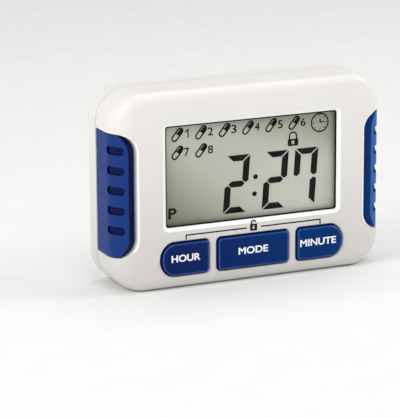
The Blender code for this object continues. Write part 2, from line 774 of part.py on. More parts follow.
def make_display(looks):
    """Lens, the two glasses of the liquid crystal cell, the reflector, the holder and the contact strip."""
    lens = plate("display_lens", [window_outline(LENS_MARGIN)], LENS_NEAR, LENS_FAR)
    as_piece(lens, looks["lens"])
    front = display_rectangle(GLASS_HALF, GLASS_BOTTOM, GLASS_TOP, WINDOW_RADIUS)
    as_piece(plate("display_glass", [front], GLASS_NEAR, GLASS_FAR), looks["glass"])
    rear = display_rectangle(GLASS_HALF, GLASS_BOTTOM, REAR_GLASS_TOP, WINDOW_RADIUS)
    as_piece(plate("display_rear_glass", [rear], REAR_GLASS_NEAR, REAR_GLASS_FAR), looks["glass"])
    as_piece(plate("display_reflector", [rear], REFLECTOR_NEAR, REFLECTOR_FAR), looks["reflector"])
    outlines = []
    for grow in (GAP + HOLDER_WALL, GAP):
        lower = GLASS_BOTTOM - grow
        outlines.append(display_rectangle(GLASS_HALF + grow, lower, GLASS_TOP + grow, WINDOW_RADIUS + grow))
    as_piece(plate("display_holder", outlines, WALL + GAP, BOARD_NEAR - GAP), looks["holder"])
    middle = (REAR_GLASS_TOP + GLASS_TOP) / 2
    half = GLASS_HALF - ZEBRA_END_MARGIN
    strip = display_rectangle(half, middle - ZEBRA_WIDTH / 2, middle + ZEBRA_WIDTH / 2, SMALLEST_RADIUS)
    as_piece(plate("zebra_strip", [strip], REAR_GLASS_NEAR, BOARD_NEAR - GAP), looks["zebra"])


def make_board(look):
    """Circuit board with its screw holes and the corners that clear the case posts."""
    edge = display_rectangle(BOARD_HALF, BOARD_LOWER_EDGE, BOARD_TOP, KEY_CORNER_RADIUS)
    holes = [circle(x, z, BOARD_SCREW_RADIUS + GAP) for x, z in BOARD_POSTS]
    board = plate("circuit_board", [edge, *holes], BOARD_NEAR, BOARD_FAR)
    room = CASE_POST_RADIUS + BOARD_NOTCH_ROOM
    notches = []
    for x, z in CASE_SCREWS:
        side = 1 if x > 0 else -1
        left, right = sorted((x - side * room, side * (BOARD_HALF + OVERRUN)))
        top_end = z > HOUSING_HEIGHT / 2
        bottom = z - room if top_end else BOARD_LOWER_EDGE - OVERRUN
        top = BOARD_TOP + OVERRUN if top_end else z + room
        notches.append((left, right, BOARD_NEAR - OVERRUN, BOARD_FAR + OVERRUN, bottom, top))
    cut(board, boxes("board_notches", *notches))
    return as_piece(board, look)


def make_board_parts(looks):
    """Chip, crystal, capacitor and sounder on the back of the board."""
    half = CHIP_WIDTH / 2
    far = ON_BOARD + CHIP_HEIGHT
    chip = boxes("main_chip", (CHIP_X - half, CHIP_X + half, ON_BOARD, far, CHIP_Z - half, CHIP_Z + half))
    as_piece(bevel(chip, CHIP_EDGE), looks["chip"], smooth=False)
    crystal_depth = ON_BOARD + CRYSTAL_RADIUS
    half = CRYSTAL_LENGTH / 2
    can = [
        (0, half),
        (CRYSTAL_RADIUS - CAN_EDGE, half),
        (CRYSTAL_RADIUS, half - CAN_EDGE),
        (CRYSTAL_RADIUS, -half),
        (0, -half),
    ]
    place = rightwards(CRYSTAL_X, crystal_depth, CRYSTAL_Z)
    as_piece(turned("crystal", can, place, SCREW_SEGMENTS), looks["steel"])
    can = [
        (0, CAPACITOR_HEIGHT),
        (CAPACITOR_RADIUS - CAN_EDGE, CAPACITOR_HEIGHT),
        (CAPACITOR_RADIUS, CAPACITOR_HEIGHT - CAN_EDGE),
        (CAPACITOR_RADIUS, 0),
        (0, 0),
    ]
    place = backwards(CAPACITOR_X, ON_BOARD, CAPACITOR_Z)
    as_piece(turned("capacitor", can, place, POST_SEGMENTS), looks["capacitor"])
    make_buzzer(looks)


def make_buzzer(looks):
    """Sounder: a black cup with a port to the back, and the brass disc on its ledge."""
    inner = BUZZER_RADIUS - BUZZER_WALL
    roof = BUZZER_HEIGHT - BUZZER_WALL
    ledge = roof - BUZZER_LEDGE_DEPTH
    cup = [
        (BUZZER_PORT_RADIUS, BUZZER_HEIGHT),
        (BUZZER_RADIUS - CAN_EDGE, BUZZER_HEIGHT),
        (BUZZER_RADIUS, BUZZER_HEIGHT - CAN_EDGE),
        (BUZZER_RADIUS, 0),
        (inner, 0),
        (inner, ledge),
        (inner - BUZZER_WALL, ledge),
        (inner - BUZZER_WALL, roof),
        (BUZZER_PORT_RADIUS, roof),
        (BUZZER_PORT_RADIUS, BUZZER_HEIGHT),
    ]
    place = backwards(BUZZER_X, ON_BOARD, BUZZER_Z)
    as_piece(turned("buzzer_case", cup, place, POST_SEGMENTS), looks["buzzer"])
    far = ON_BOARD + ledge - GAP
    disc = cylinders(
        "buzzer_disc", [(BUZZER_X, BUZZER_Z)], inner - GAP, far - BUZZER_DISC_THICKNESS, far, POST_SEGMENTS
    )
    as_piece(disc, looks["brass"])


def make_keys(look):
    """Three key caps: rounded front edge, retaining flange, and a hollow back with a pad over the dome."""
    for name, centre, outline in key_places():
        sections = []
        for step in range(KEY_EDGE_STEPS + 1):
            angle = step / KEY_EDGE_STEPS * pi / 2
            shrink = KEY_EDGE_ROUND * (1 - sin(angle))
            sections.append((KEY_EDGE_ROUND * (1 - cos(angle)) - KEY_PROUD, outline(-shrink)))
        sections.append((KEY_FLANGE_NEAR + KEY_FLANGE_THICKNESS / 2, outline(0)))
        cap = loft(name, sections)
        flange = plate(f"{name}_flange", [outline(KEY_FLANGE_WIDTH)], KEY_FLANGE_NEAR, KEY_BACK)
        hollow = plate(f"{name}_hollow", [outline(-KEY_SHELL)], KEY_SHELL - KEY_PROUD, KEY_BACK + OVERRUN)
        pad = cylinders(
            f"{name}_pad",
            [(centre, KEY_CENTRE_Z)],
            KEY_PAD_RADIUS,
            KEY_SHELL - KEY_PROUD - OVERRUN,
            KEY_BACK + 2 * OVERRUN,
            POST_SEGMENTS,
        )
        join(cap, flange)
        cut(cap, cut(hollow, pad))
        pivot(f"{name}_slide", Vector((centre, y_at(-KEY_PROUD), KEY_CENTRE_Z)), as_piece(cap, look))


def make_keypad_mat(look):
    """Silicone mat on the board, with a hollow dome and contact post under each key."""
    half = SIDE_KEY_X + SIDE_KEY_WIDTH / 2 + MAT_MARGIN
    lower = KEY_CENTRE_Z - KEY_HEIGHT / 2 - MAT_MARGIN
    upper = KEY_CENTRE_Z + KEY_HEIGHT / 2 + MAT_MARGIN
    mat = plate("keypad_mat", [display_rectangle(half, lower, upper, MAT_CORNER)], MAT_NEAR, MAT_FAR)
    height = MAT_FAR - DOME_NEAR
    roof = height - DOME_ROOF
    foot = MAT_THICKNESS / 2
    dome = [
        (0, height),
        (DOME_TOP_RADIUS, height),
        (DOME_TOP_RADIUS, roof),
        (DOME_BASE_RADIUS, foot),
        (0, foot),
    ]
    hollow = [
        (0, DOME_POST_CLEARANCE),
        (DOME_POST_RADIUS, DOME_POST_CLEARANCE),
        (DOME_POST_RADIUS, roof),
        (DOME_TOP_RADIUS - DOME_WALL, roof),
        (DOME_BASE_RADIUS - DOME_WALL, foot),
        (DOME_BASE_RADIUS - DOME_WALL, -OVERRUN),
        (0, -OVERRUN),
    ]
    for name, centre, _ in key_places():
        place = Matrix.Translation((centre, y_at(MAT_FAR), KEY_CENTRE_Z)) @ Matrix.Rotation(pi / 2, 4, "X")
        join(mat, turned(f"{name}_dome", dome, place, SCREW_SEGMENTS))
    for name, centre, _ in key_places():
        place = Matrix.Translation((centre, y_at(MAT_FAR), KEY_CENTRE_Z)) @ Matrix.Rotation(pi / 2, 4, "X")
        cut(mat, turned(f"{name}_dome_hollow", hollow, place, SCREW_SEGMENTS))
    return as_piece(mat, look)


def make_rear_housing(look):
    """White rear moulding: tongue, battery bay, door grooves, stand recess, sound holes and screw tubes."""
    start = PARTING_DEPTH + GAP
    shell = housing_form("rear_housing", 0, start, HOUSING_DEPTH)
    tongue = inner_form("tongue", WALL + GAP, start - TONGUE_LENGTH, start + TONGUE_ROOT / 2)
    for side, word in ((-1, "left"), (1, "right")):
        outline = grip_outline(side, GRIP_FLOOR + GAP)
        sections = [(start - TONGUE_LENGTH - OVERRUN, outline), (start, outline)]
        cut(tongue, loft(f"{word}_tongue_gap", sections))
    join(shell, tongue, side_tongue())
    wide = inner_form("rear_cavity", WALL, start + TONGUE_ROOT, HOUSING_DEPTH - WALL)
    narrow = inner_form(
        "tongue_cavity",
        WALL + GAP + TONGUE_THICKNESS,
        start - TONGUE_LENGTH - OVERRUN,
        start + TONGUE_ROOT + OVERRUN,
    )
    cut(shell, wide, narrow)
    join(shell, bay_block(), door_frame_block(), stand_block(), hinge_block())
    root = HOUSING_DEPTH - BLEND
    ring_radius = BUZZER_RADIUS + SOUND_RING_WALL
    ring_near = ON_BOARD + BUZZER_HEIGHT + GAP
    join(
        shell,
        cylinders("case_tubes", CASE_SCREWS, CASE_TUBE_RADIUS, start, root, POST_SEGMENTS),
        cylinders("sound_ring", [(BUZZER_X, BUZZER_Z)], ring_radius, ring_near, root, POST_SEGMENTS),
    )
    cut(shell, bay_cutter(), *door_cutters(), *stand_cutters())
    cut(shell, *rear_hole_cutters())
    return as_piece(shell, look)


def side_tongue():
    """Ribs that close the parting line behind the grips, stepped in past the floors of their pockets and
    between the front housing's screw posts."""
    start = PARTING_DEPTH + GAP
    inset = POCKET_INSET + GAP
    far = start + TONGUE_ROOT
    core_inset = inset + TONGUE_THICKNESS
    core = inner_form("side_tongue_core", core_inset, start - TONGUE_LENGTH - OVERRUN, far + OVERRUN)
    ribs = inner_form("side_tongue", inset, start - TONGUE_LENGTH, far)
    join(ribs, inner_form("side_shelf", WALL / 2, start, far))
    cut(ribs, core)
    inner = HALF_WIDTH - core_inset - SIDE_ROLL / 2
    outer = HALF_WIDTH + OVERRUN
    low = CASE_SCREW_FROM_END + CASE_POST_RADIUS + GAP
    reach = (0, HOUSING_DEPTH, low, HOUSING_HEIGHT - low)
    return keep_common(ribs, boxes("side_tongue_reach", (-outer, -inner, *reach), (inner, outer, *reach)))


def bay_block():
    """The battery bay's outer box, from the board to the door's ledge."""
    left = BAY_LEFT - BAY_WALL
    right = BAY_RIGHT + BAY_WALL
    low = CELL_Z - BAY_HALF_HEIGHT - BAY_WALL
    high = CELL_Z + BAY_HALF_HEIGHT + BAY_WALL
    return boxes("bay_block", (left, right, ON_BOARD, LEDGE_FAR + BLEND, low, high))


def door_frame_block():
    """Thick wall round the bay that carries the door's ledge and grooves."""
    half = DOOR_HALF_WIDTH + GAP + DOOR_RAIL_WIDTH + GAP + DOOR_LEDGE
    bottom = DOOR_BOTTOM - GAP - DOOR_LEDGE
    return boxes(
        "door_frame",
        (-half, half, LEDGE_FAR - DOOR_LEDGE, LEDGE_FAR + BLEND, bottom, HOUSING_HEIGHT - WALL / 2),
    )


def stand_radii(corner):
    """Corner radii of the stand or its recess: sharp at the hinge, round at the free end."""
    sharp = (SMALLEST_RADIUS, SMALLEST_RADIUS)
    return (sharp, sharp, (corner, corner), (corner, corner))


def stand_block():
    """Floor of the stand's recess."""
    half = RECESS_HALF + STAND_FLOOR
    near = STAND_NEAR - STAND_CLEARANCE - STAND_FLOOR
    return boxes("stand_floor", (-half, half, near, HOUSING_DEPTH - BLEND, WALL / 2, HINGE_Z))


def hinge_block():
    """Bridge round the stand's hinge, which holds the ends of its pin."""
    half = RECESS_HALF + PIN_END + PIN_CHEEK
    reach = BARREL_RADIUS + STAND_CLEARANCE + STAND_FLOOR
    near = HINGE_DEPTH - reach
    far = HOUSING_DEPTH - BLEND
    return boxes("hinge_bridge", (-half, half, near, far, HINGE_Z - reach, HINGE_Z + reach))


def bay_cutter():
    """The space of the cell, its spring and its contact plates, and the slots for the contacts' tails."""
    low = CELL_Z - BAY_HALF_HEIGHT
    high = CELL_Z + BAY_HALF_HEIGHT
    tail = PLATE_TAIL_WIDTH / 2 + GAP
    half = PLATE_THICKNESS / 2 + GAP
    near = ON_BOARD - OVERRUN
    far = BAY_FLOOR_FAR + OVERRUN
    slots = [(x - half, x + half, near, far, CELL_Z - tail, CELL_Z + tail) for x in contact_places()]
    bay = boxes("bay", (BAY_LEFT, BAY_RIGHT, BAY_FLOOR_FAR, HOUSING_DEPTH + OVERRUN, low, high))
    return join(bay, boxes("tail_slots", *slots))


def door_cutters():
    """The door's pocket, open at the top of the housing, and the two grooves for its rails."""
    top = HOUSING_HEIGHT + OVERRUN
    bottom = DOOR_BOTTOM - GAP
    inner = DOOR_HALF_WIDTH + GAP
    outer = inner + DOOR_RAIL_WIDTH
    roof = DOOR_NEAR + DOOR_RAIL_THICKNESS + GAP
    pocket = boxes("door_pocket", (-inner, inner, LEDGE_FAR, HOUSING_DEPTH + OVERRUN, bottom, top))
    grooves = boxes("door_grooves", (-outer, outer, LEDGE_FAR, roof, bottom, top))
    return pocket, grooves


def stand_cutters():
    """The recess of the folded leg, the round of its barrel, the pin's holes and a fingernail scoop."""
    near = STAND_NEAR - STAND_CLEARANCE
    far = HOUSING_DEPTH + OVERRUN
    bottom = STAND_BOTTOM - STAND_CLEARANCE
    radii = stand_radii(STAND_CORNER)
    outline = rounded_rectangle(-RECESS_HALF, RECESS_HALF, bottom, RECESS_TOP, radii, SMALL_ARC_STEPS)
    recess = plate("stand_recess", [outline], near, far)
    round_room = BARREL_RADIUS + STAND_CLEARANCE
    barrel = cross_cylinders(
        "barrel_room", [(HINGE_DEPTH, HINGE_Z)], round_room, -RECESS_HALF, RECESS_HALF, POST_SEGMENTS
    )
    end = RECESS_HALF + PIN_END + GAP
    pin = cross_cylinders("pin_holes", [(HINGE_DEPTH, HINGE_Z)], PIN_RADIUS + GAP, -end, end)
    scoop_near = HOUSING_DEPTH - SCOOP_DEPTH
    scoop = cylinders("stand_scoop", [(0, STAND_BOTTOM)], SCOOP_RADIUS, scoop_near, far, POST_SEGMENTS)
    return recess, barrel, pin, scoop


def sound_hole_places():
    circle_places = [
        (
            BUZZER_X + SOUND_HOLE_CIRCLE * cos(2 * pi * number / SOUND_HOLES_ON_CIRCLE),
            BUZZER_Z + SOUND_HOLE_CIRCLE * sin(2 * pi * number / SOUND_HOLES_ON_CIRCLE),
        )
        for number in range(SOUND_HOLES_ON_CIRCLE)
    ]
    return [(BUZZER_X, BUZZER_Z), *circle_places]


def rear_hole_cutters():
    """Sound holes, the room inside the sound ring, and the stepped holes of the case screws."""
    far = HOUSING_DEPTH + OVERRUN
    room_near = ON_BOARD + BUZZER_HEIGHT - OVERRUN
    room_far = HOUSING_DEPTH - WALL
    return (
        cylinders("sound_room", [(BUZZER_X, BUZZER_Z)], BUZZER_RADIUS, room_near, room_far, POST_SEGMENTS),
        cylinders("sound_holes", sound_hole_places(), SOUND_HOLE_RADIUS, room_far - OVERRUN, far),
        cylinders("case_holes", CASE_SCREWS, CASE_PILOT_RADIUS, PARTING_DEPTH, CASE_SEAT_DEPTH + OVERRUN),
        cylinders("counterbores", CASE_SCREWS, CASE_COUNTERBORE_RADIUS, CASE_SEAT_DEPTH, far, POST_SEGMENTS),
    )


def contact_places():
    """Middle X of the negative and the positive contact plate."""
    return (
        BAY_LEFT + GAP + PLATE_THICKNESS / 2,
        BAY_RIGHT - GAP - PLATE_THICKNESS / 2,
    )


def make_contacts(looks):
    """The two contact plates, each with a tail down to the board, and the conical spring."""
    for name, x in zip(("negative_plate", "positive_plate"), contact_places()):
        left = x - PLATE_THICKNESS / 2
        right = x + PLATE_THICKNESS / 2
        half = PLATE_WIDTH / 2
        foot = BAY_FLOOR_FAR + GAP
        sheet = boxes(name, (left, right, foot, CELL_DEPTH + half, CELL_Z - half, CELL_Z + half))
        tail = PLATE_TAIL_WIDTH / 2
        tail_far = foot + BLEND
        join(sheet, boxes(f"{name}_tail", (left, right, ON_BOARD, tail_far, CELL_Z - tail, CELL_Z + tail)))
        as_piece(sheet, looks["steel"], smooth=False)
    make_spring(looks["steel"])


def make_spring(look):
    """Conical coil from the negative plate to the flat end of the cell."""
    start = contact_places()[0] + PLATE_THICKNESS / 2 + GAP + SPRING_WIRE_RADIUS
    end = -CELL_LENGTH / 2 - GAP - SPRING_WIRE_RADIUS
    count = int(SPRING_TURNS * SPRING_POINTS_PER_TURN) + 1
    points = []
    for number in range(count):
        share = number / (count - 1)
        radius = SPRING_BASE_RADIUS + (SPRING_TIP_RADIUS - SPRING_BASE_RADIUS) * share
        angle = 2 * pi * SPRING_TURNS * share
        x = start + (end - start) * share
        points.append((x, y_at(CELL_DEPTH) + radius * cos(angle), CELL_Z + radius * sin(angle)))
    wire = bpy.data.curves.new("battery_spring", "CURVE")
    wire.dimensions = "3D"
    wire.bevel_depth = SPRING_WIRE_RADIUS
    wire.bevel_resolution = 1
    wire.use_fill_caps = True
    spline = wire.splines.new("POLY")
    spline.points.add(count - 1)
    for point, place in zip(spline.points, points):
        point.co = (*place, 1)
    made = bpy.data.objects.new("battery_spring", wire)
    HELPERS.objects.link(made)
    half_turn = SPRING_POINTS_PER_TURN // 2
    centres = min(
        dist(points[a], points[b]) for a in range(count) for b in range(a + half_turn, count)
    )
    print(f"battery_spring: least gap to itself {(centres - 2 * SPRING_WIRE_RADIUS) * 1000:.2f} mm")
    return as_piece(made, look)


def make_cell(look):
    """AAA cell: can with rounded edges, a raised positive nub and a sunk negative end."""
    top = CELL_LENGTH / 2
    shoulder = top - CELL_NUB_HEIGHT
    rim = CELL_RADIUS - CELL_RIM_WIDTH
    profile = [
        (0, top),
        (CELL_NUB_RADIUS - CELL_RIM_DEPTH, top),
        (CELL_NUB_RADIUS, top - CELL_RIM_DEPTH),
        (CELL_NUB_RADIUS, shoulder),
        (rim, shoulder - CELL_RIM_DEPTH),
        (rim + CELL_RIM_DEPTH, shoulder + CELL_RIM_DEPTH),
        (CELL_RADIUS - CELL_EDGE, shoulder + CELL_RIM_DEPTH),
        (CELL_RADIUS, shoulder - CELL_EDGE),
        (CELL_RADIUS, CELL_EDGE - top),
        (CELL_RADIUS - CELL_EDGE, -top),
        (rim, -top),
        (rim - CELL_RIM_DEPTH, CELL_RIM_DEPTH - top),
        (0, CELL_RIM_DEPTH - top),
    ]
    return as_piece(turned("battery", profile, rightwards(0, CELL_DEPTH, CELL_Z), CELL_SEGMENTS), look)


def make_door(look):
    """Sliding battery door that carries on the housing's rear form, with side rails and grip ridges."""
    door = housing_form("battery_door", 0, DOOR_NEAR, HOUSING_DEPTH)
    top = HOUSING_HEIGHT + OVERRUN
    near = DOOR_NEAR - OVERRUN
    far = HOUSING_DEPTH + OVERRUN
    keep_common(door, boxes("door_panel", (-DOOR_HALF_WIDTH, DOOR_HALF_WIDTH, near, far, DOOR_BOTTOM, top)))
    outer = DOOR_HALF_WIDTH + DOOR_RAIL_WIDTH
    rail_far = DOOR_NEAR + DOOR_RAIL_THICKNESS
    rail_top = HOUSING_HEIGHT - DOOR_RAIL_TOP_MARGIN
    join(door, boxes("door_rails", (-outer, outer, DOOR_NEAR, rail_far, DOOR_BOTTOM, rail_top)))
    half = DOOR_RIDGE_LENGTH / 2
    floor = HOUSING_DEPTH - DOOR_RIDGE_DEPTH
    ridges = []
    for number in range(DOOR_RIDGES):
        low = DOOR_BOTTOM + DOOR_RIDGES_FROM_BOTTOM + number * DOOR_RIDGE_PITCH
        ridges.append((-half, half, floor, far, low, low + DOOR_RIDGE_WIDTH))
    cut(door, boxes("door_ridges", *ridges))
    as_piece(door, look)
    pivot("battery_door_slide", Vector((0, y_at(DOOR_NEAR), DOOR_BOTTOM)), door)


def make_stand(looks):
    """Fold-out leg with its barrel, pockets in its inner face, and the steel pin that it turns on."""
    radii = stand_radii(STAND_CORNER - STAND_CLEARANCE)
    outline = rounded_rectangle(-STAND_HALF, STAND_HALF, STAND_BOTTOM, HINGE_Z, radii, SMALL_ARC_STEPS)
    leg = plate("stand_leg", [outline], STAND_NEAR, STAND_FAR)
    barrel = cross_cylinders(
        "barrel", [(HINGE_DEPTH, HINGE_Z)], BARREL_RADIUS, -STAND_HALF, STAND_HALF, POST_SEGMENTS
    )
    join(leg, barrel)
    low = STAND_BOTTOM + STAND_POCKET_RIM
    high = HINGE_Z - BARREL_RADIUS - STAND_POCKET_RIM
    inner = STAND_HALF - STAND_POCKET_RIM
    rib = STAND_POCKET_RIM / 2
    near = STAND_NEAR - OVERRUN
    far = STAND_NEAR + STAND_POCKET_DEPTH
    reach = (near, far, low, high)
    pockets = boxes("stand_pockets", (-inner, -rib, *reach), (rib, inner, *reach))
    end = STAND_HALF + OVERRUN
    bore = cross_cylinders("barrel_bore", [(HINGE_DEPTH, HINGE_Z)], PIN_RADIUS + GAP, -end, end)
    cut(leg, pockets, bore)
    as_piece(leg, looks["white"])
    pivot("stand_hinge", Vector((0, y_at(HINGE_DEPTH), HINGE_Z)), leg)
    half = RECESS_HALF + PIN_END
    pin = [
        (0, half),
        (PIN_RADIUS - SMALLEST_RADIUS, half),
        (PIN_RADIUS, half - SMALLEST_RADIUS),
        (PIN_RADIUS, SMALLEST_RADIUS - half),
        (PIN_RADIUS - SMALLEST_RADIUS, -half),
        (0, -half),
    ]
    as_piece(turned("stand_pin", pin, rightwards(0, HINGE_DEPTH, HINGE_Z), SCREW_SEGMENTS), looks["steel"])


def screw_profile(radius, length, head_radius, head_height):
    """Pan head over a plain shank with a blunt point, the head's underside at height 0."""
    return [
        (0, head_height),
        (head_radius - HEAD_ROUND, head_height),
        (head_radius, head_height - HEAD_ROUND),
        (head_radius, 0),
        (radius, 0),
        (radius, radius - length),
        (radius / 2, -length),
        (0, -length),
    ]


def make_screws(look):
    """Four screws through the rear housing and four that hold the board."""
    profile = screw_profile(CASE_SCREW_RADIUS, CASE_SCREW_LENGTH, CASE_HEAD_RADIUS, CASE_HEAD_HEIGHT)
    top = CASE_SEAT_DEPTH + GAP + CASE_HEAD_HEIGHT
    depths = (top - SLOT_DEPTH, top + OVERRUN)
    long = SLOT_LENGTH / 2
    thin = SLOT_WIDTH / 2
    for number, (x, z) in enumerate(CASE_SCREWS, 1):
        name = f"case_screw_{number}"
        screw = turned(name, profile, backwards(x, CASE_SEAT_DEPTH + GAP, z), SCREW_SEGMENTS)
        cross = boxes(f"{name}_slot", (x - long, x + long, *depths, z - thin, z + thin))
        join(cross, boxes(f"{name}_cross", (x - thin, x + thin, *depths, z - long, z + long)))
        as_piece(cut(screw, cross), look)
    profile = screw_profile(BOARD_SCREW_RADIUS, BOARD_SCREW_LENGTH, BOARD_HEAD_RADIUS, BOARD_HEAD_HEIGHT)
    for number, (x, z) in enumerate(BOARD_POSTS, 1):
        place = backwards(x, ON_BOARD, z)
        as_piece(turned(f"board_screw_{number}", profile, place, SCREW_SEGMENTS), look)


def build():
    looks = {
        "white": material("white housing plastic", (0.78, 0.77, 0.74), 0.38),
        "blue_grip": material("blue grip", (0.01, 0.05, 0.28), 0.45),
        "blue_key": material("blue key plastic", (0.008, 0.03, 0.22), 0.35),
        "lens": material("clear lens", (0.9, 0.92, 0.92), 0.05),
        "glass": material("display glass", (0.75, 0.78, 0.72), 0.05),
        "reflector": material("display reflector", (0.49, 0.52, 0.42), 0.5),
        "holder": material("holder plastic", (0.08, 0.08, 0.08), 0.5),
        "zebra": material("contact strip rubber", (0.2, 0.2, 0.22), 0.7),
        "board": material("circuit board", (0.02, 0.16, 0.05), 0.5),
        "chip": material("chip plastic", (0.015, 0.015, 0.015), 0.5),
        "steel": material("plated steel", (0.62, 0.62, 0.6), 0.3, 1.0),
        "capacitor": material("capacitor sleeve", (0.02, 0.03, 0.09), 0.4),
        "buzzer": material("buzzer plastic", (0.02, 0.02, 0.02), 0.5),
        "brass": material("brass disc", (0.7, 0.5, 0.2), 0.3, 1.0),
        "mat": material("mat silicone", (0.35, 0.35, 0.36), 0.6),
        "cell": material("cell wrap", (0.75, 0.42, 0.12), 0.3, 0.6),
    }
    make_front_housing(looks["white"])
    make_grip("left_grip", -1, GROOVE_LEFT_RISE, looks["blue_grip"])
    make_grip("right_grip", 1, 0, looks["blue_grip"])
    make_display(looks)
    make_board(looks["board"])
    make_board_parts(looks)
    make_keys(looks["blue_key"])
    make_keypad_mat(looks["mat"])
    make_rear_housing(looks["white"])
    make_contacts(looks)
    make_cell(looks["cell"])
    make_door(looks["white"])
    make_stand(looks)
    make_screws(looks["steel"])


clear_scene()
PIECES = new_collection("Electronic pill timer")
HELPERS = new_collection("Cutters and blocks")
build()
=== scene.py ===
"""Looks of an electronic pill timer: white rolled housing, blue side grips, segment display and three keys.

Metres, +Z up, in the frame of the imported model. The display faces -Y and the timer stands on Z = 0. Depths
run from the flat front face of the housing towards its back.
"""

from math import cos, pi, radians, sin, sqrt, tan

import bmesh
import bpy
from bpy.props import FloatProperty, FloatVectorProperty, IntProperty, PointerProperty
from mathutils import Matrix, Vector


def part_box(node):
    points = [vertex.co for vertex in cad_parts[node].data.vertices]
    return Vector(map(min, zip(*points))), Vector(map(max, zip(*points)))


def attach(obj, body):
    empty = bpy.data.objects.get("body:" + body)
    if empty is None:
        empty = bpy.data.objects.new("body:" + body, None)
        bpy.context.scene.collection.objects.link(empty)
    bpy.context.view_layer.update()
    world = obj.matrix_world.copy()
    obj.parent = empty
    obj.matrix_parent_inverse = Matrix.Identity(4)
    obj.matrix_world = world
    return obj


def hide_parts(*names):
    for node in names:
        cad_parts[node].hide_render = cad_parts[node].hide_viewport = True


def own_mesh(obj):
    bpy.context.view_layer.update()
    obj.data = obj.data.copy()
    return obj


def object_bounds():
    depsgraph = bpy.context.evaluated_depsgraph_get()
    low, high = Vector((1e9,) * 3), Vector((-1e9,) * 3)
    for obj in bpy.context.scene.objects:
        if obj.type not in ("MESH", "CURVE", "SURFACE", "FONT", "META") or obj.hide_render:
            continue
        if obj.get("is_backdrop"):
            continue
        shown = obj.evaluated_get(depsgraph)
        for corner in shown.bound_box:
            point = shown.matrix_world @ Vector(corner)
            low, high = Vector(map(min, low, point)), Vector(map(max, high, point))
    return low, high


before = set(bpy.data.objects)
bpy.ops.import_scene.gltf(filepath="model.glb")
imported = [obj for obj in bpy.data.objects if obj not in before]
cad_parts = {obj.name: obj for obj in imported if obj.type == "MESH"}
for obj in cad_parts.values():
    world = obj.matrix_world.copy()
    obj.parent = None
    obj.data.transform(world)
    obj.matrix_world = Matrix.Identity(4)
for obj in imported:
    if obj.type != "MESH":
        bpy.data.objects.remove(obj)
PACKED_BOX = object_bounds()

bl_info = {
    "name": "Pill timer looks",
    "version": (1, 0, 0),
    "blender": (4, 5, 0),
    "location": "3D View > Sidebar > Pill timer",
    "description": "Fine surfaces, lettering and finishes of an electronic pill timer",
    "category": "Add Mesh",
}

BLACK = (0, 0, 0)
WHITE = (1, 1, 1)

CASE_SCREWS = [f"case_screw_{number}" for number in range(1, 5)]
BOARD_SCREWS = [f"board_screw_{number}" for number in range(1, 5)]
KEYS = ("hour_key", "mode_key", "minute_key")

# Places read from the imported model
FRONT_LOW, FRONT_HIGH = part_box("front_housing")
FACE_Y = FRONT_LOW.y
HALF_WIDTH = FRONT_HIGH.x
HEIGHT = FRONT_HIGH.z
PARTING = FRONT_HIGH.y - FACE_Y
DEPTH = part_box("rear_housing")[1].y - FACE_Y
BOARD_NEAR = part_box("circuit_board")[0].y - FACE_Y
ON_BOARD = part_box("buzzer_case")[0].y - FACE_Y

# Walls, clearances and thin prints
WALL = 0.0016
GAP = 0.0003
OVERRUN = 0.0010
BLEND = 0.0008
SMALLEST_RADIUS = 0.00015
SHARP = (SMALLEST_RADIUS, SMALLEST_RADIUS)
PRINT_THICKNESS = 0.00003
PRINT_PROUD = 0.000012

# Facets and meshing
ARC_STEPS = 24
ROLL_STEPS = 20
INNER_STEPS = 6
SMALL_ARC_STEPS = 14
EDGE_STEPS = 6
ROUND_SEGMENTS = 40
HOLE_SEGMENTS = 24
GLYPH_STEPS = 5
GLYPH_MERGE = 0.004
GLYPH_HALF_THICKNESS = 0.5
GLYPH_WALL_TILT = 0.5
MERGE_DISTANCE = 0.000001
LEAST_STEP = 0.00002
MITRE_LIMIT = 0.5
SHADING_ANGLE = 28
SHADING_WEIGHT = 100

# Window and lens
LENS_MARGIN = 0.0013
LENS_BORDER_WIDTH = 0.00042

# Side grips and their recesses
GRIP_CORNER_WIDTH = 0.0056
GRIP_CORNER_HEIGHT = 0.0052
GRIP_SUNK = 0.0002
GRIP_THICKNESS = 0.0024
GRIP_FLOOR = 0.0014
GRIP_BAND_STEPS = 8
GRIP_BAND_CURVE = 1.35
GRIP_INNER_INSET = GRIP_SUNK + GRIP_THICKNESS
GRIP_SEAT_INSET = GRIP_INNER_INSET + GAP
POCKET_INSET = GRIP_SEAT_INSET + GRIP_FLOOR
GROOVE_LEFT_RISE = 0.0015
GROOVE_END_MARGIN = 0.0061
GROOVE_END_DEPTH = 0.0058
PEG_RADIUS = 0.0011
PEG_DEPTH = 0.0098
PEG_END_MARGIN = 0.0079
PEG_PROUD = 0.0005

# Keys
KEY_CORNER_RADIUS = 0.0010
KEY_END_RADIUS = 0.0038
KEY_END_SHARE = 0.49
KEY_CLEARANCE = 0.00035
KEY_FLANGE_WIDTH = 0.0008
KEY_FLANGE_THICKNESS = 0.0007
KEY_SHELL = 0.0012
KEY_PAD_RADIUS = 0.0026
# Band of the keys' rounded edge, as shares of it, that takes a painted highlight
KEY_HIGHLIGHT_SHARES = (0.02, 0.35)

# Keypad mat
MAT_THICKNESS = 0.0006
MAT_CORNER = 0.0010
DOME_BASE_RADIUS = 0.0036
DOME_TOP_RADIUS = 0.0024
DOME_WALL = 0.0005
DOME_ROOF = 0.0007
DOME_POST_RADIUS = 0.0012
DOME_POST_CLEARANCE = 0.0007

# Letters on the keys: word, middle and width
KEY_LETTERING = {
    "hour_key": ("HOUR", -0.0200, 0.0084),
    "mode_key": ("MODE", -0.0002, 0.0088),
    "minute_key": ("MINUTE", 0.0193, 0.0109),
}
KEY_LETTER_HEIGHT = 0.0020
KEY_LETTER_RISE = 0.0003
KEY_LETTER_WEIGHT = 0.028

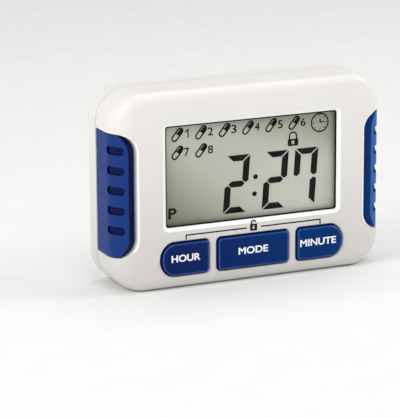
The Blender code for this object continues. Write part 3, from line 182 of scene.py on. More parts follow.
# Printed bracket over the keys. A padlock is (X, bottom, width, height), its keyhole takes shares of its
# width and height, and its shackle is (radius, line, stem)
BRACKET_Z = 0.0149
BRACKET_FOOT = 0.01365
BRACKET_LEFT = (-0.0197, -0.0019)
BRACKET_RIGHT = (0.0201, 0.0023)
BRACKET_LINE = 0.00038
OPEN_LOCK = (0.0001, 0.01395, 0.0021, 0.0019)
OPEN_KEYHOLE = (0.22, 0.5)
OPEN_SHACKLE = (0.00062, 0.00038, 0.00030)
OPEN_SHACKLE_START = 0.03
LOCK_STEPS = 16
LOCK_CORNER_SHARE = 0.0625

# What the display shows: X from the middle of the timer, Z from the floor
CAPSULE_FIRST_X = -0.0211
CAPSULE_PITCH = 0.00686
CAPSULE_ROWS = ((0.0420, 6), (0.0371, 2))
CAPSULE_LINE = 0.00042
CAPSULE_STREAK = 0.00018
CAPSULE_BAR = 0.00030
CAPSULE_STEPS = 12
CAPSULE_FILL_END = 0.3
NUMERAL_FROM_CAPSULE = 0.0027
NUMERAL_WIDTH = 0.00150
NUMERAL_WEIGHT = 0.014
ONE_FLAG = (0.00075, 0.00065)
DIGITS = (("2", -0.0068), ("2", 0.0047), ("7", 0.0136))
DIGIT_BOTTOM = 0.01885
UPRIGHT_POINT = 0.6
LIT_SEGMENTS = {"2": "abged", "7": "abcf"}
COLON = ((0.0017, 0.02825), (0.0014, 0.02355))
COLON_RADIUS = 0.00068
AFTERNOON_EXTENT = (-0.0239, -0.0215, 0.01915, 0.0221)
CLOCK_PLACE = (0.0209, 0.0414)
CLOCK_RADIUS = 0.0027
CLOCK_DOTS = 8
CLOCK_DOT_CIRCLE = 0.0020
CLOCK_DOT_RADIUS = 0.00020
CLOCK_HANDS = ((0.0001, 0.0011), (0.0001, 0.0001), (0.0013, 0.0001))
CLOSED_LOCK = (0.01286, 0.0357, 0.0031, 0.0019)
CLOSED_KEYHOLE = (0.3, 0.56)
CLOSED_SHACKLE = (0.00106, 0.0004, 0.0008)

# Rear moulding, door, stand and screw posts
TONGUE_LENGTH = 0.0015
TONGUE_THICKNESS = 0.0010
TONGUE_ROOT = 0.0017
BAY_CLEARANCE = 0.00035
BAY_WALL = 0.0012
DOOR_RAIL_WIDTH = 0.0010
DOOR_RAIL_THICKNESS = 0.0007
DOOR_RAIL_TOP_MARGIN = 0.0015
DOOR_LEDGE = 0.0015
DOOR_RIDGES = 5
DOOR_RIDGE_PITCH = 0.0017
DOOR_RIDGE_WIDTH = 0.0008
DOOR_RIDGE_LENGTH = 0.0140
DOOR_RIDGE_DEPTH = 0.0004
DOOR_RIDGES_FROM_BOTTOM = 0.0030
DOOR_ARROW_WIDTH = 0.0036
DOOR_ARROW_HEIGHT = 0.0022
DOOR_ARROW_GAP = 0.0010
BARREL_RADIUS = 0.00175
PIN_RADIUS = 0.0006
PIN_END = 0.0025
PIN_CHEEK = 0.0015
STAND_THICKNESS = 0.0022
STAND_CORNER = 0.0030
STAND_CLEARANCE = 0.00035
STAND_FLOOR = 0.0014
STAND_POCKET_DEPTH = 0.0011
STAND_POCKET_RIM = 0.0024
SCOOP_RADIUS = 0.0060
SCOOP_DEPTH = 0.0015
PLATE_TAIL_WIDTH = 0.0020
SOUND_HOLE_RADIUS = 0.0007
SOUND_HOLE_CIRCLE = 0.0026
SOUND_HOLES_ON_CIRCLE = 6
SOUND_RING_WALL = 0.0010
CASE_PILOT_RADIUS = 0.00135
CASE_POST_RADIUS = 0.00275
CASE_TUBE_RADIUS = 0.0032
CASE_COUNTERBORE_RADIUS = 0.0023
CASE_HEAD_HEIGHT = 0.0014
CASE_HOLE_PAST_SCREW = 0.0010
BOARD_POST_RADIUS = 0.0019
BOARD_PILOT_RADIUS = 0.00105

# Cell
CELL_NUB_RADIUS = 0.0019
CELL_NUB_HEIGHT = 0.0010
CELL_EDGE = 0.0004
CELL_RIM_WIDTH = 0.0009
CELL_RIM_DEPTH = 0.00015
CELL_SEGMENTS = 72

# Turns of a finish from one tone to another, as (axis, from, to). Across, a finish is darker to the left and
# lighter to the right by painted light; upwards, the housing is darker towards the foot by painted shade
ACROSS_PAINTED_LIGHT = (0, -HALF_WIDTH, HALF_WIDTH)
UPWARDS_PAINTED_SHADE = (2, 0, HEIGHT)

# Families of finishes: size of their patches, swing of the roughness, darkest patch, size and height of the
# grain, and the shader's constants. The rest differ from plastic in what they name
PLASTIC = {"patch": 0.012, "swing": 0.06, "darkest": 0.06, "grain": 0.00018, "height": 0.000004}
KEY_PLASTIC = {"patch": 0.006, "swing": 0.08, "darkest": 0.12, "grain": 0.00015}
RUBBER = {"patch": 0.0011, "swing": 0.16, "darkest": 0.3, "grain": 0.0004, "height": 0.00002}
METAL = {"patch": 0.0015, "swing": 0.14, "darkest": 0.2, "grain": 0.0004, "height": 0.000003, "Metallic": 1}
SHEET = {"patch": 0.02, "swing": 0.01, "grain": 0}

# Each finish: family, tone, roughness, and what else differs. A tone is in 0 to 255, or the name of one of
# the timer's colours, or two of these and a turn
FINISHES = {
    # Painted shade: the housing's white darkens towards the foot
    "housing plastic": (PLASTIC, ("housing_low", "housing", UPWARDS_PAINTED_SHADE), 0.36, {}),
    # Painted highlight: a brighter white on the window's bevel and the grips' rims, on a really glossier
    # surface
    "polished edge": (PLASTIC, "edge", 0.22, {"height": 0.000001}),
    # Painted light: the grips' blue is darker on the left and lighter on the right
    "grip rubber": (RUBBER, ("grip", "grip_right", ACROSS_PAINTED_LIGHT), 0.5, {"Specular_IOR_Level": 0.2}),
    # Painted shade: a darker blue on the slope at each grip's inner edge, lighter on the right by painted
    # light
    "grip slope": (RUBBER, ("grip_band", "grip_band_right", ACROSS_PAINTED_LIGHT), 0.5, {"Specular_IOR_Level": 0.08}),
    # Painted shade: a darker blue inside the finger grooves, lighter on the right by painted light
    "groove": (RUBBER, ("groove", "groove_right", ACROSS_PAINTED_LIGHT), 0.5, {"Specular_IOR_Level": 0.1}),
    # Painted light: the keys' navy is darker to the left and clearer to the right
    "key plastic": (KEY_PLASTIC, ("key_left", "key_right", ACROSS_PAINTED_LIGHT), 0.36, {"Specular_IOR_Level": 0.05}),
    # Painted highlight: a lighter blue on a band of each key's rounded rim
    "key rim": (PLASTIC, "key_rim", 0.25, {}),
    "white ink": (PLASTIC, "ink", 0.5, {"height": 0.000002}),
    "printed mark": (PLASTIC, "mark", 0.55, {"Specular_IOR_Level": 0.2}),
    "segment": (PLASTIC, "segment", 0.5, {"Specular_IOR_Level": 0.15}),
    "lens border": (PLASTIC, (24, 25, 22), 0.5, {"Specular_IOR_Level": 0.2}),
    "clear lens": (SHEET, (30, 32, 31), 0.05, {"Alpha": 0.05, "IOR": 1.49}),
    "clear glass": (SHEET, (60, 64, 60), 0.06, {"Alpha": 0.1, "IOR": 1.5}),
    "reflector": (PLASTIC, (176, 182, 168), 0.4, {}),
    "holder plastic": (PLASTIC, (40, 40, 42), 0.5, {}),
    "contact rubber": (PLASTIC, (60, 60, 64), 0.7, {"grain": 0.0003, "height": 0.00001}),
    "board lacquer": (PLASTIC, (22, 96, 48), 0.35, {"grain": 0.0005, "height": 0.00001}),
    "chip resin": (PLASTIC, (24, 24, 26), 0.55, {"grain": 0.0001, "height": 0.00001}),
    "capacitor sleeve": (PLASTIC, (24, 34, 70), 0.35, {}),
    "sounder plastic": (PLASTIC, (20, 20, 22), 0.45, {}),
    "silicone": (PLASTIC, (150, 150, 152), 0.6, {"Subsurface_Weight": 0.1}),
    "brass": (METAL, (214, 176, 96), 0.3, {}),
    "plated steel": (METAL, (196, 196, 192), 0.28, {}),
    "screw steel": (METAL, (168, 168, 166), 0.34, {}),
}

# Display layer: olive lower left, and painted shade of the bezel at the upper right and along the top, as
# (share, lean, from, to), painted light paler between and low at the right, and mottle as (share, size)
OLIVE_LOW = (0.93, 1.4, 0.1, 0.98)
BEZEL_PAINTED_SHADE = (0.55, 0.6, 1.0, 1.45)
PAINTED_LIGHT_SHARE = 0.3
PAINTED_LIGHT_ACROSS = (0.3, 0.8)
PAINTED_LIGHT_UP = (0.45, 0.8)
DISPLAY_MOTTLE = (0.1, 0.008)
DISPLAY_ROUGHNESS = 0.5
DISPLAY_GRAIN = (0.0003, 0.000002)

# Wrap of the cell, and its grain as (size, height)
WRAP_BLACK = (24, 22, 20)
WRAP_BARE = (196, 196, 192)
WRAP_ROUGHNESS = 0.3
WRAP_GRAIN = (0.0006, 0.000003)
WRAP_BAND = 0.0085
WRAP_TOP_RIM = 0.0016
WRAP_FOOT_RIM = 0.0007
WRAP_PRINT_EDGE = 0.0001
WRAP_METALLIC = 0.55

# Finishes of the inner pieces that stay as packed
INNER_FINISHES = {
    "display_reflector": "reflector",
    "display_holder": "holder plastic",
    "zebra_strip": "contact rubber",
    "circuit_board": "board lacquer",
    "main_chip": "chip resin",
    "crystal": "plated steel",
    "capacitor": "capacitor sleeve",
    "buzzer_case": "sounder plastic",
    "buzzer_disc": "brass",
    "battery_spring": "plated steel",
    "negative_plate": "plated steel",
    "positive_plate": "plated steel",
    "stand_pin": "plated steel",
    **{screw: "screw steel" for screw in (*CASE_SCREWS, *BOARD_SCREWS)},
}

# Floor, lights as (name, place, size, power), and the pale horizon
FLOOR_HALF = 4.0
FLOOR_ROUGHNESS = 0.7
FLOOR_GRAIN = (0.004, 0.00001)
FLOOR_PATCHES = (0.012, 0.06, 0.06)
FLOOR_CORNERS = ((-1, -1), (1, -1), (1, 1), (-1, 1))
LIGHTS = (
    ("left_light", (-0.82, -0.26, 0.56), 0.50, 4.0),
    ("front_light", (-0.05, -0.80, 0.85), 0.60, 1.9),
    ("right_light", (0.82, -0.26, 0.50), 0.45, 2.9),
    ("top_light", (0.05, 0.20, 0.90), 0.60, 2.2),
)
WORLD_STRENGTH = 0.44
HORIZON_STRENGTH = 0.92
HORIZON_RISE = 0.22
FLOOR_GLOW = 0.42
FLOOR_GLOW_FROM = 0.5
FLOOR_GLOW_TO = 1.2

# Camera, as the photograph was taken
IMAGE_WIDTH = 400
CAMERA_PLACE = (-0.269789, -0.587983, 0.184113)
CAMERA_AZIMUTH = 23.736
CAMERA_ELEVATION = 14.428
CAMERA_ROLL = -0.3331
CAMERA_FOCAL_PIXELS = 2448.76
SENSOR_WIDTH = 36


def srgb(red, green, blue):
    """A colour given in 0 to 255 as the linear values that shaders take."""
    shares = (channel / 255 for channel in (red, green, blue))
    return tuple(s / 12.92 if s <= 0.04045 else ((s + 0.055) / 1.055) ** 2.4 for s in shares)


def length(name, default, description):
    return FloatProperty(
        name=name, description=description, default=default, min=0, precision=5, unit="LENGTH"
    )


def colour(name, default, description):
    return FloatVectorProperty(
        name=name, description=description, default=srgb(*default), size=3, min=0, max=1, subtype="COLOR"
    )


class TimerSizes(bpy.types.PropertyGroup):
    """Sizes of the mouldings that show."""

    corner_radius: length("Corner radius", 0.009, "Radius of the housing's corners, seen from the front")
    side_roll: length("Side roll", 0.0065, "Radius on which the front face rolls round to the sides")
    top_roll: length("Top roll", 0.0025, "Radius on which the front face rolls over to the top")
    bottom_roll: length("Bottom roll", 0.0040, "Radius on which the front face rolls under")
    rear_roll: length("Rear roll", 0.0030, "Radius round the back face")
    window_bevel: length("Window bevel", 0.0010, "Width of the bevelled frame round the display")
    window_lip: length("Window lip", 0.0007, "Depth of the bevelled frame round the display")
    window_radius: length("Window radius", 0.0007, "Corner radius of the window")
    mouth_round: length("Mouth rounding", 0.0005, "Rounded edge of the key openings and grip recesses")
    key_round: length("Key edge", 0.0006, "Rounded edge of the key caps")
    band_width: length("Grip slope width", 0.00305, "Width over which a grip slopes down at its inner edge")
    band_depth: length("Grip slope depth", 0.0018, "Depth that a grip loses at its inner edge")
    groove_height: length("Groove height", 0.0022, "Height of one finger groove")
    groove_reach: length("Groove reach", 0.0032, "How far a finger groove runs in over the front")
    groove_depth: length("Groove depth", 0.00045, "Depth of a finger groove")
    grooves: IntProperty(name="Grooves", description="Finger grooves in each grip", default=5, min=1, max=9)


class TimerDisplay(bpy.types.PropertyGroup):
    """Sizes of what the display shows."""

    digit_height: length("Digit height", 0.0159, "Height of the time's digits")
    digit_width: length("Digit width", 0.00694, "Width of a digit")
    segment_width: length("Segment width", 0.00166, "Width of a digit's level segments")
    upright_width: length("Upright width", 0.00186, "Width of a digit's upright segments")
    segment_gap: length("Segment gap", 0.00025, "Gap between two segments")
    capsule_length: length("Capsule length", 0.0044, "Length of an alarm's capsule sign")
    capsule_width: length("Capsule width", 0.00188, "Width of an alarm's capsule sign")
    line_width: length("Line width", 0.00036, "Width of thin lines in the display")
    numeral_height: length("Numeral height", 0.00224, "Height of the alarm numbers")
    digit_slant: FloatProperty(
        name="Digit slant", description="How far the digits lean", default=radians(4.3), subtype="ANGLE"
    )
    capsule_tilt: FloatProperty(
        name="Capsule tilt",
        description="Tilt of a capsule from upright",
        default=radians(40),
        subtype="ANGLE",
    )


class TimerColours(bpy.types.PropertyGroup):
    """Colours of the finishes."""

    housing: colour("Housing", (238, 235, 231), "Warm white of the two mouldings, the door and the stand")
    # Painted shade: the duller white towards the foot stands in for the shade low on the housing
    housing_low: colour("Housing, lower part", (217, 214, 209), "Duller white towards the foot")
    # Painted highlight: brighter white on the window frame and the grips' rims
    edge: colour("Polished edge", (254, 254, 253), "Brighter white of the window frame and the grips' rims")
    grip: colour("Left grip", (8, 54, 132), "Blue of the left grip")
    # Painted light: the right grip is the same rubber as the left, made a clearer blue
    grip_right: colour("Right grip", (24, 96, 172), "Clearer blue of the right grip")
    # Painted shade on the grips' sloping inner edges, darker on the left
    grip_band: colour("Left grip slope", (3, 10, 72), "Darker blue of the left grip's sloping inner edge")
    grip_band_right: colour("Right grip slope", (6, 54, 124), "Blue of the right grip's sloping inner edge")
    # Painted shade inside the finger grooves
    groove: colour("Groove", (3, 15, 80), "Darker blue inside the left finger grooves")
    groove_right: colour("Right groove", (4, 34, 98), "Darker blue inside the right finger grooves")
    # Painted light: one key plastic, made darker to the left and clearer to the right
    key_left: colour("Key, left side", (14, 32, 92), "Navy blue of the keys towards the left")
    key_right: colour("Key, right side", (0, 55, 118), "Clearer blue of the keys towards the right")
    # Painted highlight on the keys' rounded rims
    key_rim: colour("Key rim", (28, 66, 150), "Lighter blue of the keys' rounded rims")
    ink: colour("Ink", (250, 251, 253), "White lettering on the keys")
    mark: colour("Mark", (20, 20, 26), "Thin printed lines on the housing")
    display: colour("Display", (203, 206, 191), "Grey green of the display")
    # Painted light: paler tone low at the display's right
    display_lift: colour("Display lift", (244, 246, 236), "Paler tone low at the display's right")
    # Olive of the lower left, also used as painted shade of the bezel at the upper right and along the top
    display_shade: colour("Display shade", (138, 141, 114), "Olive in its lower left and upper right")
    segment: colour("Segment", (10, 11, 10), "Segments and signs of the display")
    cell: colour("Cell", (206, 140, 44), "Gold wrap of the cell")
    floor: colour("Floor", (246, 246, 245), "Pale floor")


class Amount:
    """A shader value: sums and products of amounts add their Math nodes."""

    def __init__(self, finish, socket):
        self.finish = finish
        self.socket = socket

    def math(self, operation, first, second):
        return self.finish.node("ShaderNodeMath", {"operation": operation}, {0: first, 1: second})

    def __add__(self, other):
        return self.math("ADD", self, other)

    def __radd__(self, other):
        return self.math("ADD", other, self)

    def __sub__(self, other):
        return self.math("SUBTRACT", self, other)

    def __rsub__(self, other):
        return self.math("SUBTRACT", other, self)

    def __mul__(self, other):
        return self.math("MULTIPLY", self, other)

    def __rmul__(self, other):
        return self.math("MULTIPLY", other, self)


class Finish:
    """A material on one Principled shader, whose constants are set on the shader's own sockets."""

    def __init__(self, name, **sockets):
        self.material = bpy.data.materials.new(name)
        self.material.use_nodes = True
        self.tree = self.material.node_tree
        self.shader = self.tree.nodes["Principled BSDF"]
        for socket, value in sockets.items():
            self.feed(self.shader.inputs[socket.replace("_", " ")], value)

    def feed(self, socket, value):
        if isinstance(value, Amount):
            self.tree.links.new(value.socket, socket)
        elif socket.type == "RGBA":
            socket.default_value = (*value, 1)
        else:
            socket.default_value = value

    def node(self, kind, settings=None, sockets=None, output=0):
        made = self.tree.nodes.new(kind)
        for setting, value in (settings or {}).items():
            setattr(made, setting, value)
        for socket, value in (sockets or {}).items():
            self.feed(made.inputs[socket], value)
        return Amount(self, made.outputs[output])

    def place(self):
        """Place on the piece, in metres."""
        return self.node("ShaderNodeTexCoord", output="Object")

    def along(self, axis):
        """Place along one axis: 0, 1 or 2 for X, Y or Z."""
        return self.node("ShaderNodeSeparateXYZ", sockets={0: self.place()}, output=axis)

    def noise(self, size, detail=2.0):
        """Soft noise from 0 to 1 whose patches are about this size."""
        return self.node(
            "ShaderNodeTexNoise", sockets={"Vector": self.place(), "Scale": 1 / size, "Detail": detail}
        )

    def blend(self, share, first, second):
        """The first colour where the share is 0 and the second where it is 1."""
        # the Mix node's colours are its inputs 6 and 7 and its output 2
        return self.node("ShaderNodeMix", {"data_type": "RGBA"}, {0: share, 6: first, 7: second}, output=2)

    def tone(self, tone):
        """The tone that a finish in the table names."""
        if isinstance(tone, str):
            return getattr(bpy.context.scene.timer_colours, tone)
        if not isinstance(tone[0], str):
            return srgb(*tone)
        first, second, (axis, start, end) = tone
        share = self.ramp(self.along(axis), start, end)
        return self.blend(share, self.tone(first), self.tone(second))

    def ramp(self, value, low, high):
        """0 below low, 1 above high, and smooth between them."""
        return self.node(
            "ShaderNodeMapRange",
            {"interpolation_type": "SMOOTHSTEP"},
            {"Value": value, "From Min": low, "From Max": high},
        )

    def vary(self, tone, roughness, patch, swing, darkest):
        """Lets patches of this size darken the tone a little and shift the roughness."""
        patches = self.noise(patch)
        self.feed(self.shader.inputs["Base Color"], self.blend(darkest * patches, tone, BLACK))
        self.feed(self.shader.inputs["Roughness"], roughness - swing / 2 + swing * patches)

    def grain(self, size, height):
        """Fine moulded texture of this height."""
        texture = self.noise(size, detail=3.0)
        bump = self.node("ShaderNodeBump", sockets={"Height": texture, "Distance": height})
        self.feed(self.shader.inputs["Normal"], bump)


class Sky(Finish):
    """World light that is palest at the horizon, where it meets the pale floor."""

    def __init__(self, name, horizon, above):
        self.world = bpy.data.worlds.new(name)
        self.world.use_nodes = True
        self.tree = self.world.node_tree
        self.shader = self.tree.nodes["Background"]
        self.feed(self.shader.inputs["Color"], WHITE)
        way = self.node("ShaderNodeTexCoord", output="Generated")
        rise = self.node("ShaderNodeSeparateXYZ", sockets={0: way}, output=2)
        strength = horizon - (horizon - above) * self.ramp(rise, 0, HORIZON_RISE)
        self.feed(self.shader.inputs["Strength"], strength)


def surface(name, tone, roughness, patch, swing, darkest, grain, height, **sockets):
    """Slow drift of tone, uneven gloss and a fine moulded grain."""
    finish = Finish(name, **sockets)
    finish.vary(finish.tone(tone), roughness, patch, swing, darkest)
    if grain:
        finish.grain(grain, height)
    return finish.material


def display_layer(name):
    """Grey green liquid crystal layer, olive at its lower left, darker at its upper right and along the top
    by painted shade of the bezel, and paler between by painted light.
    """
    finish = Finish(name, Roughness=DISPLAY_ROUGHNESS)
    low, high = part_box("display_lens")
    across = (finish.along(0) - low.x) * (1 / (high.x - low.x))
    up = (finish.along(2) - low.z) * (1 / (high.z - low.z))
    # Painted light, paler low at the right
    pale = PAINTED_LIGHT_SHARE * finish.ramp(across, *PAINTED_LIGHT_ACROSS) * (1 - finish.ramp(up, *PAINTED_LIGHT_UP))
    tone = finish.blend(pale, finish.tone("display"), finish.tone("display_lift"))
    share, lean, start, end = OLIVE_LOW
    shade = share * (1 - finish.ramp(lean * across + up, start, end))
    # Painted shade of the bezel, at the upper right and along the top
    share, lean, start, end = BEZEL_PAINTED_SHADE
    shade = shade + share * finish.ramp(lean * across + up, start, end)
    share, size = DISPLAY_MOTTLE
    shade = shade + share * finish.noise(size)
    finish.feed(finish.shader.inputs["Base Color"], finish.blend(shade, tone, finish.tone("display_shade")))
    finish.grain(*DISPLAY_GRAIN)
    return finish.material


def cell_wrap(name):
    """Gold wrap with a black band at the negative end and bare metal rims."""
    finish = Finish(name, Roughness=WRAP_ROUGHNESS)
    low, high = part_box("battery")

    def beyond(place):
        return finish.ramp(finish.along(0), place, place + WRAP_PRINT_EDGE)

    tone = finish.blend(1 - beyond(low.x + WRAP_BAND), finish.tone("cell"), srgb(*WRAP_BLACK))
    rims = beyond(high.x - WRAP_TOP_RIM) + (1 - beyond(low.x + WRAP_FOOT_RIM))
    finish.feed(finish.shader.inputs["Base Color"], finish.blend(rims, tone, srgb(*WRAP_BARE)))
    finish.feed(finish.shader.inputs["Metallic"], WRAP_METALLIC + (1 - WRAP_METALLIC) * rims)
    finish.grain(*WRAP_GRAIN)
    return finish.material


def floor_paper(name):
    """Pale paper that is as light far off as the horizon behind it."""
    finish = Finish(name, Emission_Strength=FLOOR_GLOW)
    finish.vary(finish.tone("floor"), FLOOR_ROUGHNESS, *FLOOR_PATCHES)
    finish.grain(*FLOOR_GRAIN)
    distance = finish.node("ShaderNodeVectorMath", {"operation": "LENGTH"}, {0: finish.place()}, output=1)
    glow = finish.blend(finish.ramp(distance, FLOOR_GLOW_FROM, FLOOR_GLOW_TO), BLACK, WHITE)
    finish.feed(finish.shader.inputs["Emission Color"], glow)
    return finish.material


def looks(name):
    """A finish by name, made when it is first asked for."""
    if name in bpy.data.materials:
        return bpy.data.materials[name]
    if name in FINISHES:
        family, tone, roughness, rest = FINISHES[name]
        return surface(name, tone, roughness, **{**PLASTIC, **family, **rest})
    makers = {"display layer": display_layer, "cell wrap": cell_wrap, "floor paper": floor_paper}
    return makers[name](name)


def y_at(depth):
    return FACE_Y + depth


def near_of(node):
    """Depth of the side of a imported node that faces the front."""
    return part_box(node)[0].y - FACE_Y


def far_of(node):
    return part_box(node)[1].y - FACE_Y


def solid(name, mesh, *finishes):
    """An object from a bmesh, closed and with its faces pointing out."""
    bmesh.ops.remove_doubles(mesh, verts=mesh.verts, dist=MERGE_DISTANCE)
    bmesh.ops.recalc_face_normals(mesh, faces=mesh.faces)
    data = bpy.data.meshes.new(name)
    mesh.to_mesh(data)
    mesh.free()
    for finish in finishes:
        data.materials.append(looks(finish))
    made = bpy.data.objects.new(name, data)
    bpy.context.scene.collection.objects.link(made)
    return made


def settle(made):
    """Applies an object's modifiers."""
    graph = bpy.context.evaluated_depsgraph_get()
    data = bpy.data.meshes.new_from_object(made.evaluated_get(graph))
    made.modifiers.clear()
    old = made.data
    made.data = data
    bpy.data.meshes.remove(old)


def combine(made, operation, *tools):
    """Exact Booleans with the tools, which keep their finishes on the faces that they leave."""
    for tool in tools:
        step = made.modifiers.new(tool.name, "BOOLEAN")
        step.operation = operation
        step.solver = "EXACT"
        step.material_mode = "TRANSFER"
        step.object = tool
    settle(made)
    for tool in tools:
        data = tool.data
        bpy.data.objects.remove(tool)
        bpy.data.meshes.remove(data)
    return made


def cut(made, *tools):
    return combine(made, "DIFFERENCE", *tools)


def join(made, *tools):
    return combine(made, "UNION", *tools)


def keep_common(made, *tools):
    return combine(made, "INTERSECT", *tools)


def as_piece(made, body, slot, *nodes):
    """Shades a finished piece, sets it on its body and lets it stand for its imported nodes."""
    made.data.shade_smooth()
    made.data.set_sharp_from_angle(angle=radians(SHADING_ANGLE))
    even = made.modifiers.new("even shading", "WEIGHTED_NORMAL")
    even.keep_sharp = True
    even.weight = SHADING_WEIGHT
    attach(made, body)
    if nodes:
        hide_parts(*nodes)
    return made


def rounded_rectangle(left, right, bottom, top, radii, steps):
    """Outline in X and Z. radii has (in X, in Z) for right top, left top, left bottom, right bottom."""
    centres = (
        (right - radii[0][0], top - radii[0][1]),
        (left + radii[1][0], top - radii[1][1]),
        (left + radii[2][0], bottom + radii[2][1]),
        (right - radii[3][0], bottom + radii[3][1]),
    )
    points = []
    for corner, ((x, z), (radius_x, radius_z)) in enumerate(zip(centres, radii)):
        for step in range(steps + 1):
            angle = (corner + step / steps) * pi / 2
            points.append((x + radius_x * cos(angle), z + radius_z * sin(angle)))
    return points


def even_radii(radius):
    return ((radius, radius),) * 4


def edges(node, inset=0):
    """Left, right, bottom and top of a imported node's box, drawn in by inset."""
    low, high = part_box(node)
    return low.x + inset, high.x - inset, low.z + inset, high.z - inset


def rounded_edge(radius):
    """(depth, inset) steps down an edge that is rounded over to this radius."""
    angles = [step / EDGE_STEPS * pi / 2 for step in range(EDGE_STEPS + 1)]
    return [(radius * (1 - cos(angle)), radius * (1 - sin(angle))) for angle in angles]


def arc(x, z, radius, start, end, steps):
    """Points of an arc between two angles given in turns, anticlockwise from +X."""
    turns = [start + (end - start) * step / steps for step in range(steps + 1)]
    return [(x + radius * cos(2 * pi * turn), z + radius * sin(2 * pi * turn)) for turn in turns]


def circle(x, z, radius, segments=HOLE_SEGMENTS):
    return arc(x, z, radius, 0, 1, segments)[:-1]


def bridge(mesh, rings, closed=False):
    """Joins rings of equal count, with a face on the first and the last unless the row is closed."""
    count = len(rings[0])
    following = rings[1:] + (rings[:1] if closed else [])
    for near, far in zip(rings, following):
        for here in range(count):
            after = (here + 1) % count
            mesh.faces.new((near[here], near[after], far[after], far[here]))
    if not closed:
        mesh.faces.new(rings[0])
        mesh.faces.new(rings[-1])


def ring(mesh, outline, depth):
    return [mesh.verts.new((x, y_at(depth), z)) for x, z in outline]


def loft(name, sections, *finishes):
    """A closed solid through outlines of equal point count, as (depth, outline) from front to back."""
    mesh = bmesh.new()
    bridge(mesh, [ring(mesh, outline, depth) for depth, outline in sections])
    return solid(name, mesh, *finishes)


def plate(name, outline, near, far, *finishes):
    return loft(name, [(near, outline), (far, outline)], *finishes)


class Layer:
    """Flat shapes between two depths, gathered in one mesh."""

    def __init__(self, near, far):
        self.mesh = bmesh.new()
        self.near = near
        self.far = far

    def solid(self, name, *finishes):
        return solid(name, self.mesh, *finishes)

    def fill(self, outline):
        """Adds a filled shape."""
        bridge(self.mesh, [ring(self.mesh, outline, depth) for depth in (self.near, self.far)])

    def hoop(self, outer, inner):
        """Adds the area between two outlines of equal point count."""
        loops = ((outer, self.near), (inner, self.near), (inner, self.far), (outer, self.far))
        corners = zip(*(ring(self.mesh, outline, depth) for outline, depth in loops))
        bridge(self.mesh, [list(four) for four in corners], closed=True)

    def line(self, path, width):
        """Adds a line of even width along a path of points in X and Z."""
        rings = []
        for here, point in enumerate(path):
            before = Vector(path[max(here - 1, 0)])
            after = Vector(path[min(here + 1, len(path) - 1)])
            point = Vector(point)
            way_in = (point - before).normalized() if here else (after - point).normalized()
            way_out = (after - point).normalized() if here < len(path) - 1 else way_in
            middle = (way_in + way_out).normalized()
            half = width / 2 / max(middle.dot(way_in), MITRE_LIMIT)
            across = Vector((-middle.y, middle.x)) * half
            one, other = point + across, point - across
            corners = ((one, self.near), (other, self.near), (other, self.far), (one, self.far))
            rings.append([self.mesh.verts.new((side.x, y_at(depth), side.y)) for side, depth in corners])
        bridge(self.mesh, rings)

    def lock_body(self, place, hole_shares):
        """Adds a padlock's body with a keyhole that takes these shares of its width and height."""
        x, bottom, width, height = place
        z = bottom + height / 2
        wide, high = (share * side / 2 for share, side in zip(hole_shares, (width, height)))
        outlines = [
            rounded_rectangle(x - half, x + half, z - tall, z + tall, even_radii(radius), EDGE_STEPS)
            for half, tall, radius in (
                (width / 2, height / 2, width * LOCK_CORNER_SHARE),
                (wide, high, min(wide, high)),
            )
        ]
        self.hoop(*outlines)


def printed(face):
    """A layer printed on a flat face at this depth."""
    return Layer(face - PRINT_PROUD, face + PRINT_THICKNESS)


def cylinders(name, places, radius, near, far, segments=ROUND_SEGMENTS):
    """Cylinders along Y at (x, z) places, as one tool."""
    layer = Layer(near, far)
    for place in places:
        layer.fill(circle(*place, radius, segments))
    return layer.solid(name)


def cross_cylinders(name, places, radius, left, right, segments=HOLE_SEGMENTS):
    """Cylinders along X at (depth, z) places, as one tool."""
    mesh = bmesh.new()
    for depth, z in places:
        outline = circle(depth, z, radius, segments)
        rings = [[mesh.verts.new((x, y_at(d), height)) for d, height in outline] for x in (left, right)]
        bridge(mesh, rings)
    return solid(name, mesh)


def boxes(name, *extents):
    """Boxes given as (left, right, near, far, bottom, top), as one tool."""
    mesh = bmesh.new()
    for left, right, near, far, bottom, top in extents:
        corners = [(left, bottom), (right, bottom), (right, top), (left, top)]
        bridge(mesh, [ring(mesh, corners, depth) for depth in (near, far)])
    return solid(name, mesh)


def turned(name, profile, place, segments, *finishes):
    """A turned solid round local Z. The profile is (radius, height) from its top face to its bottom one."""
    mesh = bmesh.new()
    rings = []
    for radius, height in profile:
        rings.append([mesh.verts.new((x, y, height)) for x, y in circle(0, 0, radius, segments)])
    bridge(mesh, rings)
    mesh.transform(place)
    return solid(name, mesh, *finishes)


def rolled_in(travel, radius):
    """How far a quarter round still lies in from the full size, this far from its start."""
    if radius <= 0 or travel >= radius:
        return 0.0
    return radius - sqrt(radius**2 - (radius - max(travel, 0)) ** 2)


def housing_outline(depth, inset, steps):
    """The housing's outline at a depth, on a skin that lies inset below the outer one."""
    sizes = bpy.context.scene.timer_sizes
    from_front = depth - inset
    rear = rolled_in(DEPTH - inset - depth, sizes.rear_roll - inset)
    side, top, bottom = (
        inset + rear + rolled_in(from_front, roll - inset)
        for roll in (sizes.side_roll, sizes.top_roll, sizes.bottom_roll)
    )
    across, upper, lower = (
        max(sizes.corner_radius - edge, SMALLEST_RADIUS) for edge in (side, top, bottom)
    )
    radii = ((across, upper), (across, upper), (across, lower), (across, lower))
    return rounded_rectangle(side - HALF_WIDTH, HALF_WIDTH - side, bottom, HEIGHT - top, radii, steps)


